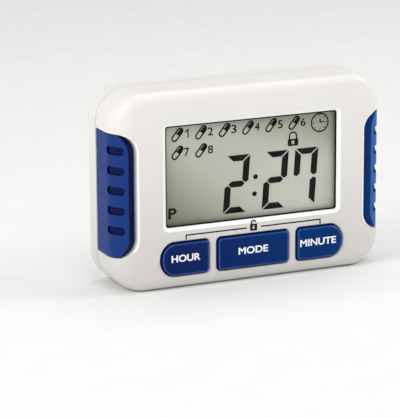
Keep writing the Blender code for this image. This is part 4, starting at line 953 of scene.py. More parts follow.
def housing_form(name, inset, near, far, *finishes, arc_steps=ARC_STEPS, roll_steps=ROLL_STEPS):
    """The housing's solid form between two depths, inset below its outer skin."""
    sizes = bpy.context.scene.timer_sizes
    depths = {near, far}
    for step in range(roll_steps + 1):
        fall = 1 - cos(step / roll_steps * pi / 2)
        front = inset + max(sizes.side_roll - inset, 0) * fall
        rear = DEPTH - inset - max(sizes.rear_roll - inset, 0) * fall
        depths.update(depth for depth in (front, rear) if near < depth < far)
    ordered = sorted(depths)
    pairs = zip(ordered, ordered[1:])
    kept = ordered[:1] + [after for before, after in pairs if after - before > LEAST_STEP]
    return loft(name, [(depth, housing_outline(depth, inset, arc_steps)) for depth in kept], *finishes)


def inner_form(name, inset, near, far):
    return housing_form(name, inset, near, far, arc_steps=INNER_STEPS, roll_steps=INNER_STEPS)


def mouth(name, outline_of, far, *finishes):
    """Tool for an opening in the front face whose edge is rounded over."""
    radius = bpy.context.scene.timer_sizes.mouth_round
    sections = rounded_edge(radius)[1:]
    first_depth, first_grow = sections[0]
    above = first_grow + (radius - first_grow) * (first_depth + GAP / 4) / first_depth
    sections = [(-OVERRUN, above), (-GAP / 4, above), *sections, (far, 0)]
    return loft(name, [(depth, outline_of(grow)) for depth, grow in sections], *finishes)


def grip_box(side):
    """Inner X, bottom and top of a grip's recess."""
    low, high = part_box("right_grip" if side > 0 else "left_grip")
    inner = low.x if side > 0 else -high.x
    return inner - GAP, low.z - GAP, high.z + GAP


def grip_outline(side, grow):
    """Half-round outline of a grip's recess, grown by grow."""
    inner, bottom, top = grip_box(side)
    corner = (GRIP_CORNER_WIDTH + grow, GRIP_CORNER_HEIGHT + grow)
    outer = (inner - grow, HALF_WIDTH + OVERRUN, bottom - grow, top + grow)
    points = rounded_rectangle(*outer, (SHARP, corner, corner, SHARP), SMALL_ARC_STEPS)
    return [(side * x, z) for x, z in points]


def grip_pegs(name, side, radius, extra):
    """A grip's two pegs, or with extra their holes."""
    _, bottom, top = grip_box(side)
    places = [(PEG_DEPTH, bottom + PEG_END_MARGIN), (PEG_DEPTH, top - PEG_END_MARGIN)]
    outer = HALF_WIDTH - GRIP_INNER_INSET + BLEND / 2
    inner = HALF_WIDTH - POCKET_INSET - PEG_PROUD - extra
    left, right = sorted((side * inner, side * outer))
    return cross_cylinders(name, places, radius, left, right)


def window_outline(grow):
    radius = bpy.context.scene.timer_sizes.window_radius + max(grow, 0)
    return rounded_rectangle(*edges("display_lens", LENS_MARGIN - grow), even_radii(radius), EDGE_STEPS)


def key_outline(name, grow):
    """Outline of a key cap, grown by grow. A side key's outer end is almost half round."""
    low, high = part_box(name)
    height = high.z - low.z - 2 * KEY_FLANGE_WIDTH
    end = (KEY_END_RADIUS + grow, height * KEY_END_SHARE + grow)
    corner = max(KEY_CORNER_RADIUS + grow, SMALLEST_RADIUS)
    right = end if name == "minute_key" else (corner, corner)
    left = end if name == "hour_key" else (corner, corner)
    outer = edges(name, KEY_FLANGE_WIDTH - grow)
    return rounded_rectangle(*outer, (right, left, left, right), SMALL_ARC_STEPS)


def centres_of(*nodes):
    """(x, z) middle of each node's box."""
    found = []
    for node in nodes:
        low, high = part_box(node)
        found.append(((low.x + high.x) / 2, (low.z + high.z) / 2))
    return found


class PILLTIMER_OT_front_housing(bpy.types.Operator):
    """White front moulding: rolled shell, bevelled window, key openings, grip recesses and screw posts"""

    bl_idname = "pill_timer.front_housing"
    bl_label = "Front housing"

    def execute(self, context):
        sizes = context.scene.timer_sizes
        shell = housing_form("front_moulding", 0, 0, PARTING, "housing plastic")
        cavity = inner_form("front_cavity", WALL, WALL, PARTING + OVERRUN)
        for side in (-1, 1):
            pocket = plate("pocket", grip_outline(side, GRIP_FLOOR), -OVERRUN, PARTING + 2 * OVERRUN)
            core = inner_form("pocket_core", POCKET_INSET, POCKET_INSET, PARTING + 3 * OVERRUN)
            cut(cavity, cut(pocket, core))
        cut(shell, cavity)
        case_places = centres_of(*CASE_SCREWS)
        board_places = centres_of(*BOARD_SCREWS)
        root = WALL - BLEND
        join(
            shell,
            cylinders("case_posts", case_places, CASE_POST_RADIUS, root, PARTING - GAP),
            cylinders("board_posts", board_places, BOARD_POST_RADIUS, root, BOARD_NEAR - GAP),
        )
        for side in (-1, 1):
            far = PARTING + OVERRUN
            # The recess tool leaves the brighter white of a painted highlight on the rim round each grip
            recess = mouth("recess", lambda grow: grip_outline(side, grow), far, "polished edge")
            seat = inner_form("grip_seat", GRIP_SEAT_INSET, GRIP_SEAT_INSET, PARTING + 2 * OVERRUN)
            cut(shell, cut(recess, seat), grip_pegs("peg_holes", side, PEG_RADIUS + GAP, OVERRUN))
        behind = WALL + OVERRUN
        lip = sizes.window_lip
        grows = ((-lip, 2 * sizes.window_bevel), (lip, 0), (behind, 0))
        # The window's bevel takes the brighter white of a painted highlight
        window = loft("window", [(depth, window_outline(grow)) for depth, grow in grows], "polished edge")
        rebate = plate("lens_rebate", window_outline(LENS_MARGIN + GAP), lip, behind)
        openings = [
            mouth(f"{name}_opening", lambda grow: key_outline(name, KEY_CLEARANCE + grow), behind)
            for name in KEYS
        ]
        cut(shell, window, rebate, *openings)
        deepest = near_of(CASE_SCREWS[0]) - CASE_HOLE_PAST_SCREW
        pilot = near_of(BOARD_SCREWS[0]) - GAP
        cut(
            shell,
            cylinders("case_pilots", case_places, CASE_PILOT_RADIUS, deepest, PARTING + OVERRUN),
            cylinders("board_pilots", board_places, BOARD_PILOT_RADIUS, pilot, BOARD_NEAR + OVERRUN),
        )
        as_piece(shell, "housing", "housing", "front_housing")
        return {"FINISHED"}


class PILLTIMER_OT_rear_housing(bpy.types.Operator):
    """White rear moulding with the battery bay, door grooves, stand recess, sound holes and screw tubes"""

    bl_idname = "pill_timer.rear_housing"
    bl_label = "Rear housing"

    def execute(self, context):
        start = PARTING + GAP
        shell = housing_form("rear_moulding", 0, start, DEPTH, "housing plastic")
        tongue = inner_form("tongue", WALL + GAP, start - TONGUE_LENGTH, start + TONGUE_ROOT / 2)
        for side in (-1, 1):
            outline = grip_outline(side, GRIP_FLOOR + GAP)
            gap = plate("tongue_gap", outline, start - TONGUE_LENGTH - OVERRUN, start)
            cut(tongue, gap)
        join(shell, tongue, side_tongue(start))
        wide = inner_form("rear_cavity", WALL, start + TONGUE_ROOT, DEPTH - WALL)
        before = start - TONGUE_LENGTH - OVERRUN
        inset = WALL + GAP + TONGUE_THICKNESS
        cut(shell, wide, inner_form("tongue_cavity", inset, before, start + TONGUE_ROOT + OVERRUN))
        bay, bay_block = bay_boxes()
        frame_block, door_tools = door_boxes()
        stand_blocks, stand_tools = stand_shapes()
        join(shell, bay_block, frame_block, *stand_blocks)
        root = DEPTH - BLEND
        case_places = centres_of(*CASE_SCREWS)
        sounder = centres_of("buzzer_case")
        low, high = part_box("buzzer_case")
        radius = (high.x - low.x) / 2
        sounder_far = far_of("buzzer_case")
        join(
            shell,
            cylinders("case_tubes", case_places, CASE_TUBE_RADIUS, start, root),
            cylinders("sound_ring", sounder, radius + SOUND_RING_WALL, sounder_far + GAP, root),
        )
        cut(shell, bay, *door_tools, *stand_tools)
        far = DEPTH + OVERRUN
        seat = far_of(CASE_SCREWS[0]) - CASE_HEAD_HEIGHT - GAP
        (x, z), = sounder
        on_circle = circle(x, z, SOUND_HOLE_CIRCLE, SOUND_HOLES_ON_CIRCLE)
        inside = DEPTH - WALL - OVERRUN
        cut(
            shell,
            cylinders("sound_room", sounder, radius, sounder_far - OVERRUN, DEPTH - WALL),
            cylinders("sound_holes", [*sounder, *on_circle], SOUND_HOLE_RADIUS, inside, far, HOLE_SEGMENTS),
            cylinders("case_holes", case_places, CASE_PILOT_RADIUS, PARTING, seat + OVERRUN),
            cylinders("counterbores", case_places, CASE_COUNTERBORE_RADIUS, seat, far),
        )
        as_piece(shell, "housing", "housing", "rear_housing")
        return {"FINISHED"}


def side_tongue(start):
    """Ribs that close the parting line behind the grips, between the screw posts."""
    inset = POCKET_INSET + GAP
    far = start + TONGUE_ROOT
    core = inner_form("side_core", inset + TONGUE_THICKNESS, start - TONGUE_LENGTH - OVERRUN, far + OVERRUN)
    ribs = inner_form("side_tongue", inset, start - TONGUE_LENGTH, far)
    join(ribs, inner_form("side_shelf", WALL / 2, start, far))
    cut(ribs, core)
    inner = HALF_WIDTH - inset - TONGUE_THICKNESS - bpy.context.scene.timer_sizes.side_roll / 2
    outer = HALF_WIDTH + OVERRUN
    low = centres_of(CASE_SCREWS[0])[0][1] + CASE_POST_RADIUS + GAP
    reach = (0, DEPTH, low, HEIGHT - low)
    return keep_common(ribs, boxes("side_reach", (-outer, -inner, *reach), (inner, outer, *reach)))


def bay_boxes():
    """The space of the cell and its contacts, and the block that it is cut from."""
    low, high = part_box("battery")
    (_, z), = centres_of("battery")
    half = (high.z - low.z) / 2 + BAY_CLEARANCE
    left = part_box("negative_plate")[0].x - GAP
    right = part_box("positive_plate")[1].x + GAP
    floor = near_of("battery") - GAP
    ledge = near_of("battery_door") - GAP
    space = boxes("bay", (left, right, floor, DEPTH + OVERRUN, z - half, z + half))
    tail = PLATE_TAIL_WIDTH / 2 + GAP
    slots = []
    for name in ("negative_plate", "positive_plate"):
        low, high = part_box(name)
        slots.append((low.x - GAP, high.x + GAP, ON_BOARD - OVERRUN, floor + OVERRUN, z - tail, z + tail))
    outer = half + BAY_WALL
    sides = (left - BAY_WALL, right + BAY_WALL)
    block = boxes("bay_block", (*sides, ON_BOARD, ledge + BLEND, z - outer, z + outer))
    return join(space, boxes("tail_slots", *slots)), block


def door_boxes():
    """The thick wall round the bay, the door's pocket and the grooves of its rails."""
    low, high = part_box("battery_door")
    near = near_of("battery_door")
    ledge = near - GAP
    outer = high.x + GAP
    inner = outer - DOOR_RAIL_WIDTH
    bottom = low.z - GAP
    top = HEIGHT + OVERRUN
    half = outer + GAP + DOOR_LEDGE
    reach = (ledge - DOOR_LEDGE, ledge + BLEND, bottom - DOOR_LEDGE, HEIGHT - WALL / 2)
    block = boxes("door_frame", (-half, half, *reach))
    pocket = boxes("door_pocket", (-inner, inner, ledge, DEPTH + OVERRUN, bottom, top))
    grooves = boxes("door_grooves", (-outer, outer, ledge, near + DOOR_RAIL_THICKNESS + GAP, bottom, top))
    return block, (pocket, grooves)


def stand_places():
    """Half width, bottom, near depth, hinge depth and hinge height of the folded leg."""
    low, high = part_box("stand_leg")
    far = far_of("stand_leg")
    return high.x, low.z, far - STAND_THICKNESS, far - BARREL_RADIUS, high.z - BARREL_RADIUS


def stand_outline(half, bottom, top, corner):
    """Outline of the leg or its recess, rounded at its lower corners."""
    radii = (SHARP, SHARP, (corner, corner), (corner, corner))
    return rounded_rectangle(-half, half, bottom, top, radii, SMALL_ARC_STEPS)


def stand_shapes():
    """The blocks round the stand, and its recess, barrel room, pin holes and fingernail scoop."""
    half, low, near, hinge_depth, hinge_z = stand_places()
    recess_half = half + GAP
    room = BARREL_RADIUS + STAND_CLEARANCE
    floor_half = recess_half + STAND_FLOOR
    floor_near = near - STAND_CLEARANCE - STAND_FLOOR
    floor = boxes("stand_floor", (-floor_half, floor_half, floor_near, DEPTH - BLEND, WALL / 2, hinge_z))
    bridge_half = recess_half + PIN_END + PIN_CHEEK
    reach = room + STAND_FLOOR
    hinge = boxes(
        "hinge_bridge",
        (-bridge_half, bridge_half, hinge_depth - reach, DEPTH - BLEND, hinge_z - reach, hinge_z + reach),
    )
    outline = stand_outline(recess_half, low - STAND_CLEARANCE, hinge_z + room, STAND_CORNER)
    far = DEPTH + OVERRUN
    end = recess_half + PIN_END + GAP
    axis = [(hinge_depth, hinge_z)]
    tools = (
        plate("stand_recess", outline, near - STAND_CLEARANCE, far),
        cross_cylinders("barrel_room", axis, room, -recess_half, recess_half, ROUND_SEGMENTS),
        cross_cylinders("pin_holes", axis, PIN_RADIUS + GAP, -end, end),
        cylinders("stand_scoop", [(0, low)], SCOOP_RADIUS, DEPTH - SCOOP_DEPTH, far),
    )
    return (floor, hinge), tools


class PILLTIMER_OT_grips(bpy.types.Operator):
    """Blue side grips: soft shoulder, slope at the inner edge and finger grooves round the side, darker on
    the slope and in the grooves by painted shade
    """

    bl_idname = "pill_timer.grips"
    bl_label = "Side grips"

    def execute(self, context):
        sizes = context.scene.timer_sizes
        for side, word in ((-1, "left"), (1, "right")):
            sections = []
            for step in range(GRIP_BAND_STEPS + 1):
                share = step / GRIP_BAND_STEPS
                depth = GRIP_SUNK + sizes.band_depth * share**GRIP_BAND_CURVE
                sections.append((depth, grip_outline(side, -GAP - sizes.band_width * (1 - share))))
            sections.append((PARTING, grip_outline(side, -GAP)))
            # The slope takes the darker blue of a painted shade
            pad = loft(f"{word}_grip_pad", sections, "grip slope")
            skin = housing_form("grip_skin", GRIP_SUNK, GRIP_SUNK, PARTING + OVERRUN, "grip rubber")
            keep_common(pad, skin)
            cut(pad, inner_form("grip_inside", GRIP_INNER_INSET, GRIP_INNER_INSET, PARTING + 2 * OVERRUN))
            cut(pad, groove_bars(side, GROOVE_LEFT_RISE if side < 0 else 0))
            join(pad, grip_pegs("pegs", side, PEG_RADIUS, 0))
            as_piece(pad, "housing", "grip", f"{word}_grip")
        return {"FINISHED"}


def groove_bars(side, rise):
    """Tool for a grip's grooves: bars with round ends, pressed square into the roll of the side."""
    sizes = bpy.context.scene.timer_sizes
    _, bottom, top = grip_box(side)
    roll = sizes.side_roll - GRIP_SUNK
    reach = sizes.groove_reach
    end = Vector((HALF_WIDTH - GRIP_SUNK - rolled_in(GROOVE_END_DEPTH - GRIP_SUNK, roll), GROOVE_END_DEPTH))
    start = Vector((HALF_WIDTH - reach, GRIP_SUNK + rolled_in(reach - GRIP_SUNK, roll)))
    along = (end - start).normalized()
    outward = Vector((along.y, -along.x)) * sizes.side_roll
    half = sizes.groove_height / 2
    pitch = (top - bottom - 2 * GROOVE_END_MARGIN) / (sizes.grooves - 1)
    mesh = bmesh.new()
    for number in range(sizes.grooves):
        z = bottom + GROOVE_END_MARGIN + rise + number * pitch
        radii = even_radii(half - SMALLEST_RADIUS)
        outline = rounded_rectangle(0, (end - start).length, z - half, z + half, radii, EDGE_STEPS)
        rings = []
        for level in (-1, 1):
            spots = [(start + along * travel + outward * level, height) for travel, height in outline]
            rings.append([mesh.verts.new((side * spot.x, y_at(spot.y), height)) for spot, height in spots])
        bridge(mesh, rings)
    # The bars leave the darker blue of a painted shade on the grooves' floors and walls
    bars = solid("groove_bars", mesh, "groove")
    inset = GRIP_SUNK + sizes.groove_depth
    return cut(bars, housing_form("groove_core", inset, inset, PARTING, "groove"))


class PILLTIMER_OT_keys(bpy.types.Operator):
    """Three key caps with a rounded front edge, a retaining flange and a hollow back"""

    bl_idname = "pill_timer.keys"
    bl_label = "Keys"

    def execute(self, context):
        round_edge = context.scene.timer_sizes.key_round
        for name in KEYS:
            face = near_of(name)
            back = far_of(name)
            flange_near = back - KEY_FLANGE_THICKNESS
            edge = rounded_edge(round_edge)
            sections = [(face + fall, key_outline(name, -shrink)) for fall, shrink in edge]
            sections.append((flange_near + KEY_FLANGE_THICKNESS / 2, key_outline(name, 0)))
            cap = loft(f"{name}_cap", sections, "key plastic", "key rim")
            # The band between these shares of the rounded edge takes the lighter blue of a painted highlight
            highlight_near, highlight_far = (face + share * round_edge for share in KEY_HIGHLIGHT_SHARES)
            for polygon in cap.data.polygons:
                polygon.material_index = int(y_at(highlight_near) < polygon.center.y < y_at(highlight_far))
            join(cap, plate("flange", key_outline(name, KEY_FLANGE_WIDTH), flange_near, back))
            hollow = plate("hollow", key_outline(name, -KEY_SHELL), face + KEY_SHELL, back + OVERRUN)
            start = face + KEY_SHELL - OVERRUN
            pad = cylinders("pad", centres_of(name), KEY_PAD_RADIUS, start, back + 2 * OVERRUN)
            cut(cap, cut(hollow, pad))
            as_piece(cap, name, "key", name)
        return {"FINISHED"}


def embolden(mesh, weight):
    """Moves the walls of raw letters out by weight, mitred at their corners."""
    bmesh.ops.remove_doubles(mesh, verts=mesh.verts, dist=GLYPH_MERGE)
    bmesh.ops.recalc_face_normals(mesh, faces=mesh.faces)
    shifts = []
    for vertex in mesh.verts:
        walls = [face.normal for face in vertex.link_faces if abs(face.normal.z) < GLYPH_WALL_TILT]
        outward = sum(walls, Vector())
        shifts.append(weight * outward / max(outward.length_squared / 2, MITRE_LIMIT))
    for vertex, shift in zip(mesh.verts, shifts):
        vertex.co += shift


def lettering(name, text, finish, extent, layer, weight):
    """Text that fills (left, right, bottom, top) and is as thick as the layer."""
    curve = bpy.data.curves.new(name, "FONT")
    curve.body = text
    curve.extrude = GLYPH_HALF_THICKNESS
    curve.resolution_u = GLYPH_STEPS
    letters = bpy.data.objects.new(name, curve)
    bpy.context.scene.collection.objects.link(letters)
    graph = bpy.context.evaluated_depsgraph_get()
    data = bpy.data.meshes.new_from_object(letters.evaluated_get(graph))
    mesh = layer.mesh
    mesh.from_mesh(data)
    bpy.data.objects.remove(letters)
    bpy.data.meshes.remove(data)
    embolden(mesh, weight)
    left, right, bottom, top = extent
    places = [vertex.co for vertex in mesh.verts]
    spans = [(min(co[axis] for co in places), max(co[axis] for co in places)) for axis in range(2)]
    for co in places:
        across = (co.x - spans[0][0]) / (spans[0][1] - spans[0][0])
        up = (co.y - spans[1][0]) / (spans[1][1] - spans[1][0])
        depth = layer.near if co.z > 0 else layer.far
        co.x, co.y, co.z = left + across * (right - left), y_at(depth), bottom + up * (top - bottom)
    return layer.solid(name, finish)


class PILLTIMER_OT_key_lettering(bpy.types.Operator):
    """White function names on the keys"""

    bl_idname = "pill_timer.key_lettering"
    bl_label = "Key lettering"

    def execute(self, context):
        half = KEY_LETTER_HEIGHT / 2
        for name, (text, centre, width) in KEY_LETTERING.items():
            (_, z), = centres_of(name)
            middle = z + KEY_LETTER_RISE
            extent = (centre - width / 2, centre + width / 2, middle - half, middle + half)
            layer = printed(near_of(name))
            title = f"{text.lower()}_lettering"
            as_piece(lettering(title, text, "white ink", extent, layer, KEY_LETTER_WEIGHT), name, "key")
        return {"FINISHED"}


class PILLTIMER_OT_printed_marks(bpy.types.Operator):
    """Thin bracket over the keys with an open padlock between its arms"""

    bl_idname = "pill_timer.printed_marks"
    bl_label = "Printed marks"

    def execute(self, context):
        layer = printed(0)
        for outer, inner in (BRACKET_LEFT, BRACKET_RIGHT):
            layer.line([(outer, BRACKET_FOOT), (outer, BRACKET_Z), (inner, BRACKET_Z)], BRACKET_LINE)
        layer.lock_body(OPEN_LOCK, OPEN_KEYHOLE)
        x, bottom, _, height = OPEN_LOCK
        radius, line, stem = OPEN_SHACKLE
        top = bottom + height
        crown = arc(x, top + stem, radius, OPEN_SHACKLE_START, 0.5, LOCK_STEPS)
        layer.line([*crown, (x - radius, top - line)], line)
        as_piece(layer.solid("lock_bracket", "printed mark"), "housing", "housing")
        return {"FINISHED"}


def digit_segments(shown):
    """Outlines of the seven segments of a digit whose lower left corner is at 0, 0."""
    width = shown.digit_width
    height = shown.digit_height
    thick = shown.segment_width
    broad = shown.upright_width
    gap = shown.segment_gap
    middle = height / 2
    half = thick / 2

    def upright(outer, inner, end, start):
        """Bar from a mitred end at the digit's corner to a pointed start by its middle."""
        way = 1 if end > start else -1
        return [
            (outer, end),
            (inner, end - way * thick),
            (inner, start + way * half),
            ((outer + inner) / 2, start),
            (outer, start + way * half * UPRIGHT_POINT),
        ]

    upper = (height - gap, middle + gap)
    lower = (gap, middle - gap)
    return {
        "a": [
            (gap, height),
            (width - gap, height),
            (width - gap - broad, height - thick),
            (gap + broad, height - thick),
        ],
        "b": upright(width, width - broad, *upper),
        "c": upright(width, width - broad, *lower),
        "d": [(gap, 0), (gap + broad, thick), (width - gap - broad, thick), (width - gap, 0)],
        "e": upright(0, broad, *lower),
        "f": upright(0, broad, *upper),
        "g": [
            (half + gap, middle),
            (thick + gap, middle + half),
            (width - thick - gap, middle + half),
            (width - half - gap, middle),
            (width - thick - gap, middle - half),
            (thick + gap, middle - half),
        ],
    }


def add_capsule(layer, x, z):
    """Adds an alarm's capsule sign: outlined, its upper half filled but for a light streak."""
    shown = bpy.context.scene.timer_display
    tilt = shown.capsule_tilt
    radius = shown.capsule_width / 2
    reach = shown.capsule_length / 2 - radius

    def placed(points):
        return [(x + u * cos(tilt) + v * sin(tilt), z - u * sin(tilt) + v * cos(tilt)) for u, v in points]

    def skin(inset):
        top = arc(0, reach, radius - inset, 0, 0.5, CAPSULE_STEPS)
        return placed(top + [(-u, -v) for u, v in top])

    layer.hoop(skin(0), skin(CAPSULE_LINE))
    inner = radius - CAPSULE_LINE / 2
    left = CAPSULE_LINE + CAPSULE_STREAK - radius
    crown = arc(0, reach, inner, 0, CAPSULE_FILL_END, CAPSULE_STEPS)
    fill = [(-inner, 0), (inner, 0), *crown, (left, reach), (left, CAPSULE_BAR), (-inner, CAPSULE_BAR)]
    layer.fill(placed(fill))


def shown_layer():
    """A layer on the front of the display's glass, where refraction lifts the signs to."""
    far = near_of("display_glass") - PRINT_PROUD
    return Layer(far - PRINT_THICKNESS, far)


def show(made):
    as_piece(made, "housing", "display_glass")


def show_time():
    """Hours and minutes in seven-segment digits, with the colon."""
    shown = bpy.context.scene.timer_display
    layer = shown_layer()
    segments = digit_segments(shown)
    lean = tan(shown.digit_slant)
    for digit, left in DIGITS:
        for letter in LIT_SEGMENTS[digit]:
            corners = segments[letter]
            layer.fill([(left + x + (z - shown.digit_height) * lean, DIGIT_BOTTOM + z) for x, z in corners])
    for place in COLON:
        layer.fill(circle(*place, COLON_RADIUS))
    show(layer.solid("time_digits", "segment"))


def show_numeral(number, middle, z):
    """An alarm's number. The 1 is drawn as a stem with a flag."""
    shown = bpy.context.scene.timer_display
    half = shown.numeral_height / 2
    name = f"alarm_number_{number}"
    layer = shown_layer()
    if number == 1:
        flag, fall = ONE_FLAG
        stem = middle + flag / 2
        layer.line([(stem - flag, z + half - fall), (stem, z + half), (stem, z - half)], shown.line_width)
        show(layer.solid(name, "segment"))
    else:
        extent = (middle - NUMERAL_WIDTH / 2, middle + NUMERAL_WIDTH / 2, z - half, z + half)
        show(lettering(name, str(number), "segment", extent, layer, NUMERAL_WEIGHT))


def show_alarms():
    """A capsule and a number for each alarm."""
    layer = shown_layer()
    number = 0
    for z, count in CAPSULE_ROWS:
        for place in range(count):
            number += 1
            x = CAPSULE_FIRST_X + place * CAPSULE_PITCH
            add_capsule(layer, x, z)
            show_numeral(number, x + NUMERAL_FROM_CAPSULE, z)
    show(layer.solid("alarm_capsules", "segment"))


def show_clock_and_lock():
    """Clock face with its dots and hands, and a closed padlock."""
    line = bpy.context.scene.timer_display.line_width
    layer = shown_layer()
    x, z = CLOCK_PLACE
    outer = circle(x, z, CLOCK_RADIUS, ROUND_SEGMENTS)
    layer.hoop(outer, circle(x, z, CLOCK_RADIUS - line, ROUND_SEGMENTS))
    for dot in circle(x, z, CLOCK_DOT_CIRCLE, CLOCK_DOTS):
        layer.fill(circle(*dot, CLOCK_DOT_RADIUS, CAPSULE_STEPS))
    layer.line([(x + u, z + v) for u, v in CLOCK_HANDS], line)
    layer.lock_body(CLOSED_LOCK, CLOSED_KEYHOLE)
    x, bottom, _, height = CLOSED_LOCK
    radius, thick, stem = CLOSED_SHACKLE
    top = bottom + height
    foot = top - thick / 2
    crown = arc(x, top + stem, radius, 0, 0.5, LOCK_STEPS)
    layer.line([(x + radius, foot), *crown, (x - radius, foot)], thick)
    show(layer.solid("clock_and_lock", "segment"))


class PILLTIMER_OT_display_signs(bpy.types.Operator):
    """Time, alarm capsules, their numbers and the other signs of the display"""

    bl_idname = "pill_timer.display_signs"
    bl_label = "Display signs"

    def execute(self, context):
        show_time()
        show_alarms()
        show_clock_and_lock()
        layer = shown_layer()
        show(lettering("afternoon_letter", "P", "segment", AFTERNOON_EXTENT, layer, KEY_LETTER_WEIGHT))
        return {"FINISHED"}


class PILLTIMER_OT_display(bpy.types.Operator):
    """Clear lens with a dark border printed on it, over the grey green glass"""

    bl_idname = "pill_timer.display"
    bl_label = "Display"

    def execute(self, context):
        layer = printed(near_of("display_lens"))
        layer.hoop(window_outline(LENS_MARGIN / 2), window_outline(-LENS_BORDER_WIDTH))
        as_piece(layer.solid("lens_border", "lens border"), "housing", "holder")
        give_finish("display_lens", "clear lens")
        give_finish("display_glass", "display layer")
        give_finish("display_rear_glass", "clear glass")
        return {"FINISHED"}


def give_finish(node, finish):
    """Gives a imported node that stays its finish."""
    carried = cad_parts[node]
    carried.data.materials.clear()
    carried.data.materials.append(looks(finish))


class PILLTIMER_OT_cell(bpy.types.Operator):
    """Cell with rounded rims, a raised positive nub and a gold wrap"""

    bl_idname = "pill_timer.cell"
    bl_label = "Cell"

    def execute(self, context):
        low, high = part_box("battery")
        top = (high.x - low.x) / 2
        outer = (high.z - low.z) / 2
        shoulder = top - CELL_NUB_HEIGHT
        rim = outer - CELL_RIM_WIDTH
        profile = [
            (CELL_NUB_RADIUS - CELL_RIM_DEPTH, top),
            (CELL_NUB_RADIUS, top - CELL_RIM_DEPTH),
            (CELL_NUB_RADIUS, shoulder),
            (rim, shoulder - CELL_RIM_DEPTH),
            (rim + CELL_RIM_DEPTH, shoulder + CELL_RIM_DEPTH),
            (outer - CELL_EDGE, shoulder + CELL_RIM_DEPTH),
            (outer, shoulder - CELL_EDGE),
            (outer, CELL_EDGE - top),
            (outer - CELL_EDGE, -top),
            (rim, -top),
            (rim - CELL_RIM_DEPTH, CELL_RIM_DEPTH - top),
        ]
        (x, z), = centres_of("battery")
        place = Matrix.Translation((x, (low.y + high.y) / 2, z)) @ Matrix.Rotation(pi / 2, 4, "Y")
        as_piece(turned("cell", profile, place, CELL_SEGMENTS, "cell wrap"), "housing", "cell", "battery")
        return {"FINISHED"}


class PILLTIMER_OT_door(bpy.types.Operator):
    """Sliding battery door that carries on the rear form, with side rails, grip ridges and an arrow"""

    bl_idname = "pill_timer.door"
    bl_label = "Battery door"

    def execute(self, context):
        low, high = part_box("battery_door")
        near = near_of("battery_door")
        half = high.x - DOOR_RAIL_WIDTH
        door = housing_form("sliding_door", 0, near, DEPTH, "housing plastic")
        far = DEPTH + OVERRUN
        keep_common(door, boxes("door_panel", (-half, half, near - OVERRUN, far, low.z, HEIGHT + OVERRUN)))
        rail_far = near + DOOR_RAIL_THICKNESS
        rail_top = HEIGHT - DOOR_RAIL_TOP_MARGIN
        join(door, boxes("door_rails", (low.x, high.x, near, rail_far, low.z, rail_top)))
        ridge_half = DOOR_RIDGE_LENGTH / 2
        ridges = []
        for number in range(DOOR_RIDGES):
            bottom = low.z + DOOR_RIDGES_FROM_BOTTOM + number * DOOR_RIDGE_PITCH
            top = bottom + DOOR_RIDGE_WIDTH
            ridges.append((-ridge_half, ridge_half, DEPTH - DOOR_RIDGE_DEPTH, far, bottom, top))
        foot = top + DOOR_ARROW_GAP
        point = foot + DOOR_ARROW_HEIGHT
        arrow = [(-DOOR_ARROW_WIDTH / 2, foot), (DOOR_ARROW_WIDTH / 2, foot), (0, point)]
        cut(door, boxes("door_ridges", *ridges), plate("door_arrow", arrow, DEPTH - DOOR_RIDGE_DEPTH, far))
        as_piece(door, "battery_door", "housing", "battery_door")
        return {"FINISHED"}


class PILLTIMER_OT_stand(bpy.types.Operator):
    """Fold-out leg with its barrel and the pockets in its inner face"""

    bl_idname = "pill_timer.stand"
    bl_label = "Stand"

    def execute(self, context):
        half, low, near, hinge_depth, hinge_z = stand_places()
        outline = stand_outline(half, low, hinge_z, STAND_CORNER - STAND_CLEARANCE)
        leg = plate("fold_out_leg", outline, near, near + STAND_THICKNESS, "housing plastic")
        axis = [(hinge_depth, hinge_z)]
        join(leg, cross_cylinders("barrel", axis, BARREL_RADIUS, -half, half, ROUND_SEGMENTS))
        inner = half - STAND_POCKET_RIM
        rib = STAND_POCKET_RIM / 2
        top = hinge_z - BARREL_RADIUS - STAND_POCKET_RIM
        reach = (near - OVERRUN, near + STAND_POCKET_DEPTH, low + STAND_POCKET_RIM, top)
        end = half + OVERRUN
        cut(
            leg,
            boxes("stand_pockets", (-inner, -rib, *reach), (rib, inner, *reach)),
            cross_cylinders("barrel_bore", axis, PIN_RADIUS + GAP, -end, end),
        )
        as_piece(leg, "stand", "housing", "stand_leg")
        return {"FINISHED"}


class PILLTIMER_OT_keypad(bpy.types.Operator):
    """Silicone mat with a dome under each key"""

    bl_idname = "pill_timer.keypad"
    bl_label = "Keypad mat"

    def execute(self, context):
        low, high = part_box("keypad_mat")
        far = far_of("keypad_mat")
        near = far - MAT_THICKNESS
        outline = rounded_rectangle(*edges("keypad_mat"), even_radii(MAT_CORNER), SMALL_ARC_STEPS)
        mat = plate("silicone_mat", outline, near, far, "silicone")
        places = centres_of(*KEYS)
        cut(mat, cylinders("dome_holes", places, DOME_BASE_RADIUS, near - OVERRUN, far + OVERRUN))
        as_piece(mat, "housing", "mat_silicone", "keypad_mat")
        height = high.y - low.y
        roof = height - DOME_ROOF
        foot = MAT_THICKNESS / 2
        base = DOME_BASE_RADIUS - MERGE_DISTANCE
        profile = [
            (DOME_TOP_RADIUS, height),
            (DOME_TOP_RADIUS, roof),
            (base, foot),
            (base, 0),
            (base - DOME_WALL, 0),
            (base - DOME_WALL, foot),
            (DOME_TOP_RADIUS - DOME_WALL, roof),
            (DOME_POST_RADIUS, roof),
            (DOME_POST_RADIUS, DOME_POST_CLEARANCE),
        ]
        for name, (x, z) in zip(KEYS, places):
            place = Matrix.Translation((x, high.y, z)) @ Matrix.Rotation(pi / 2, 4, "X")
            dome = turned(f"{name}_dome", profile, place, ROUND_SEGMENTS, "silicone")
            as_piece(dome, "housing", "mat_silicone", "keypad_mat")
            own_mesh(dome)
        return {"FINISHED"}


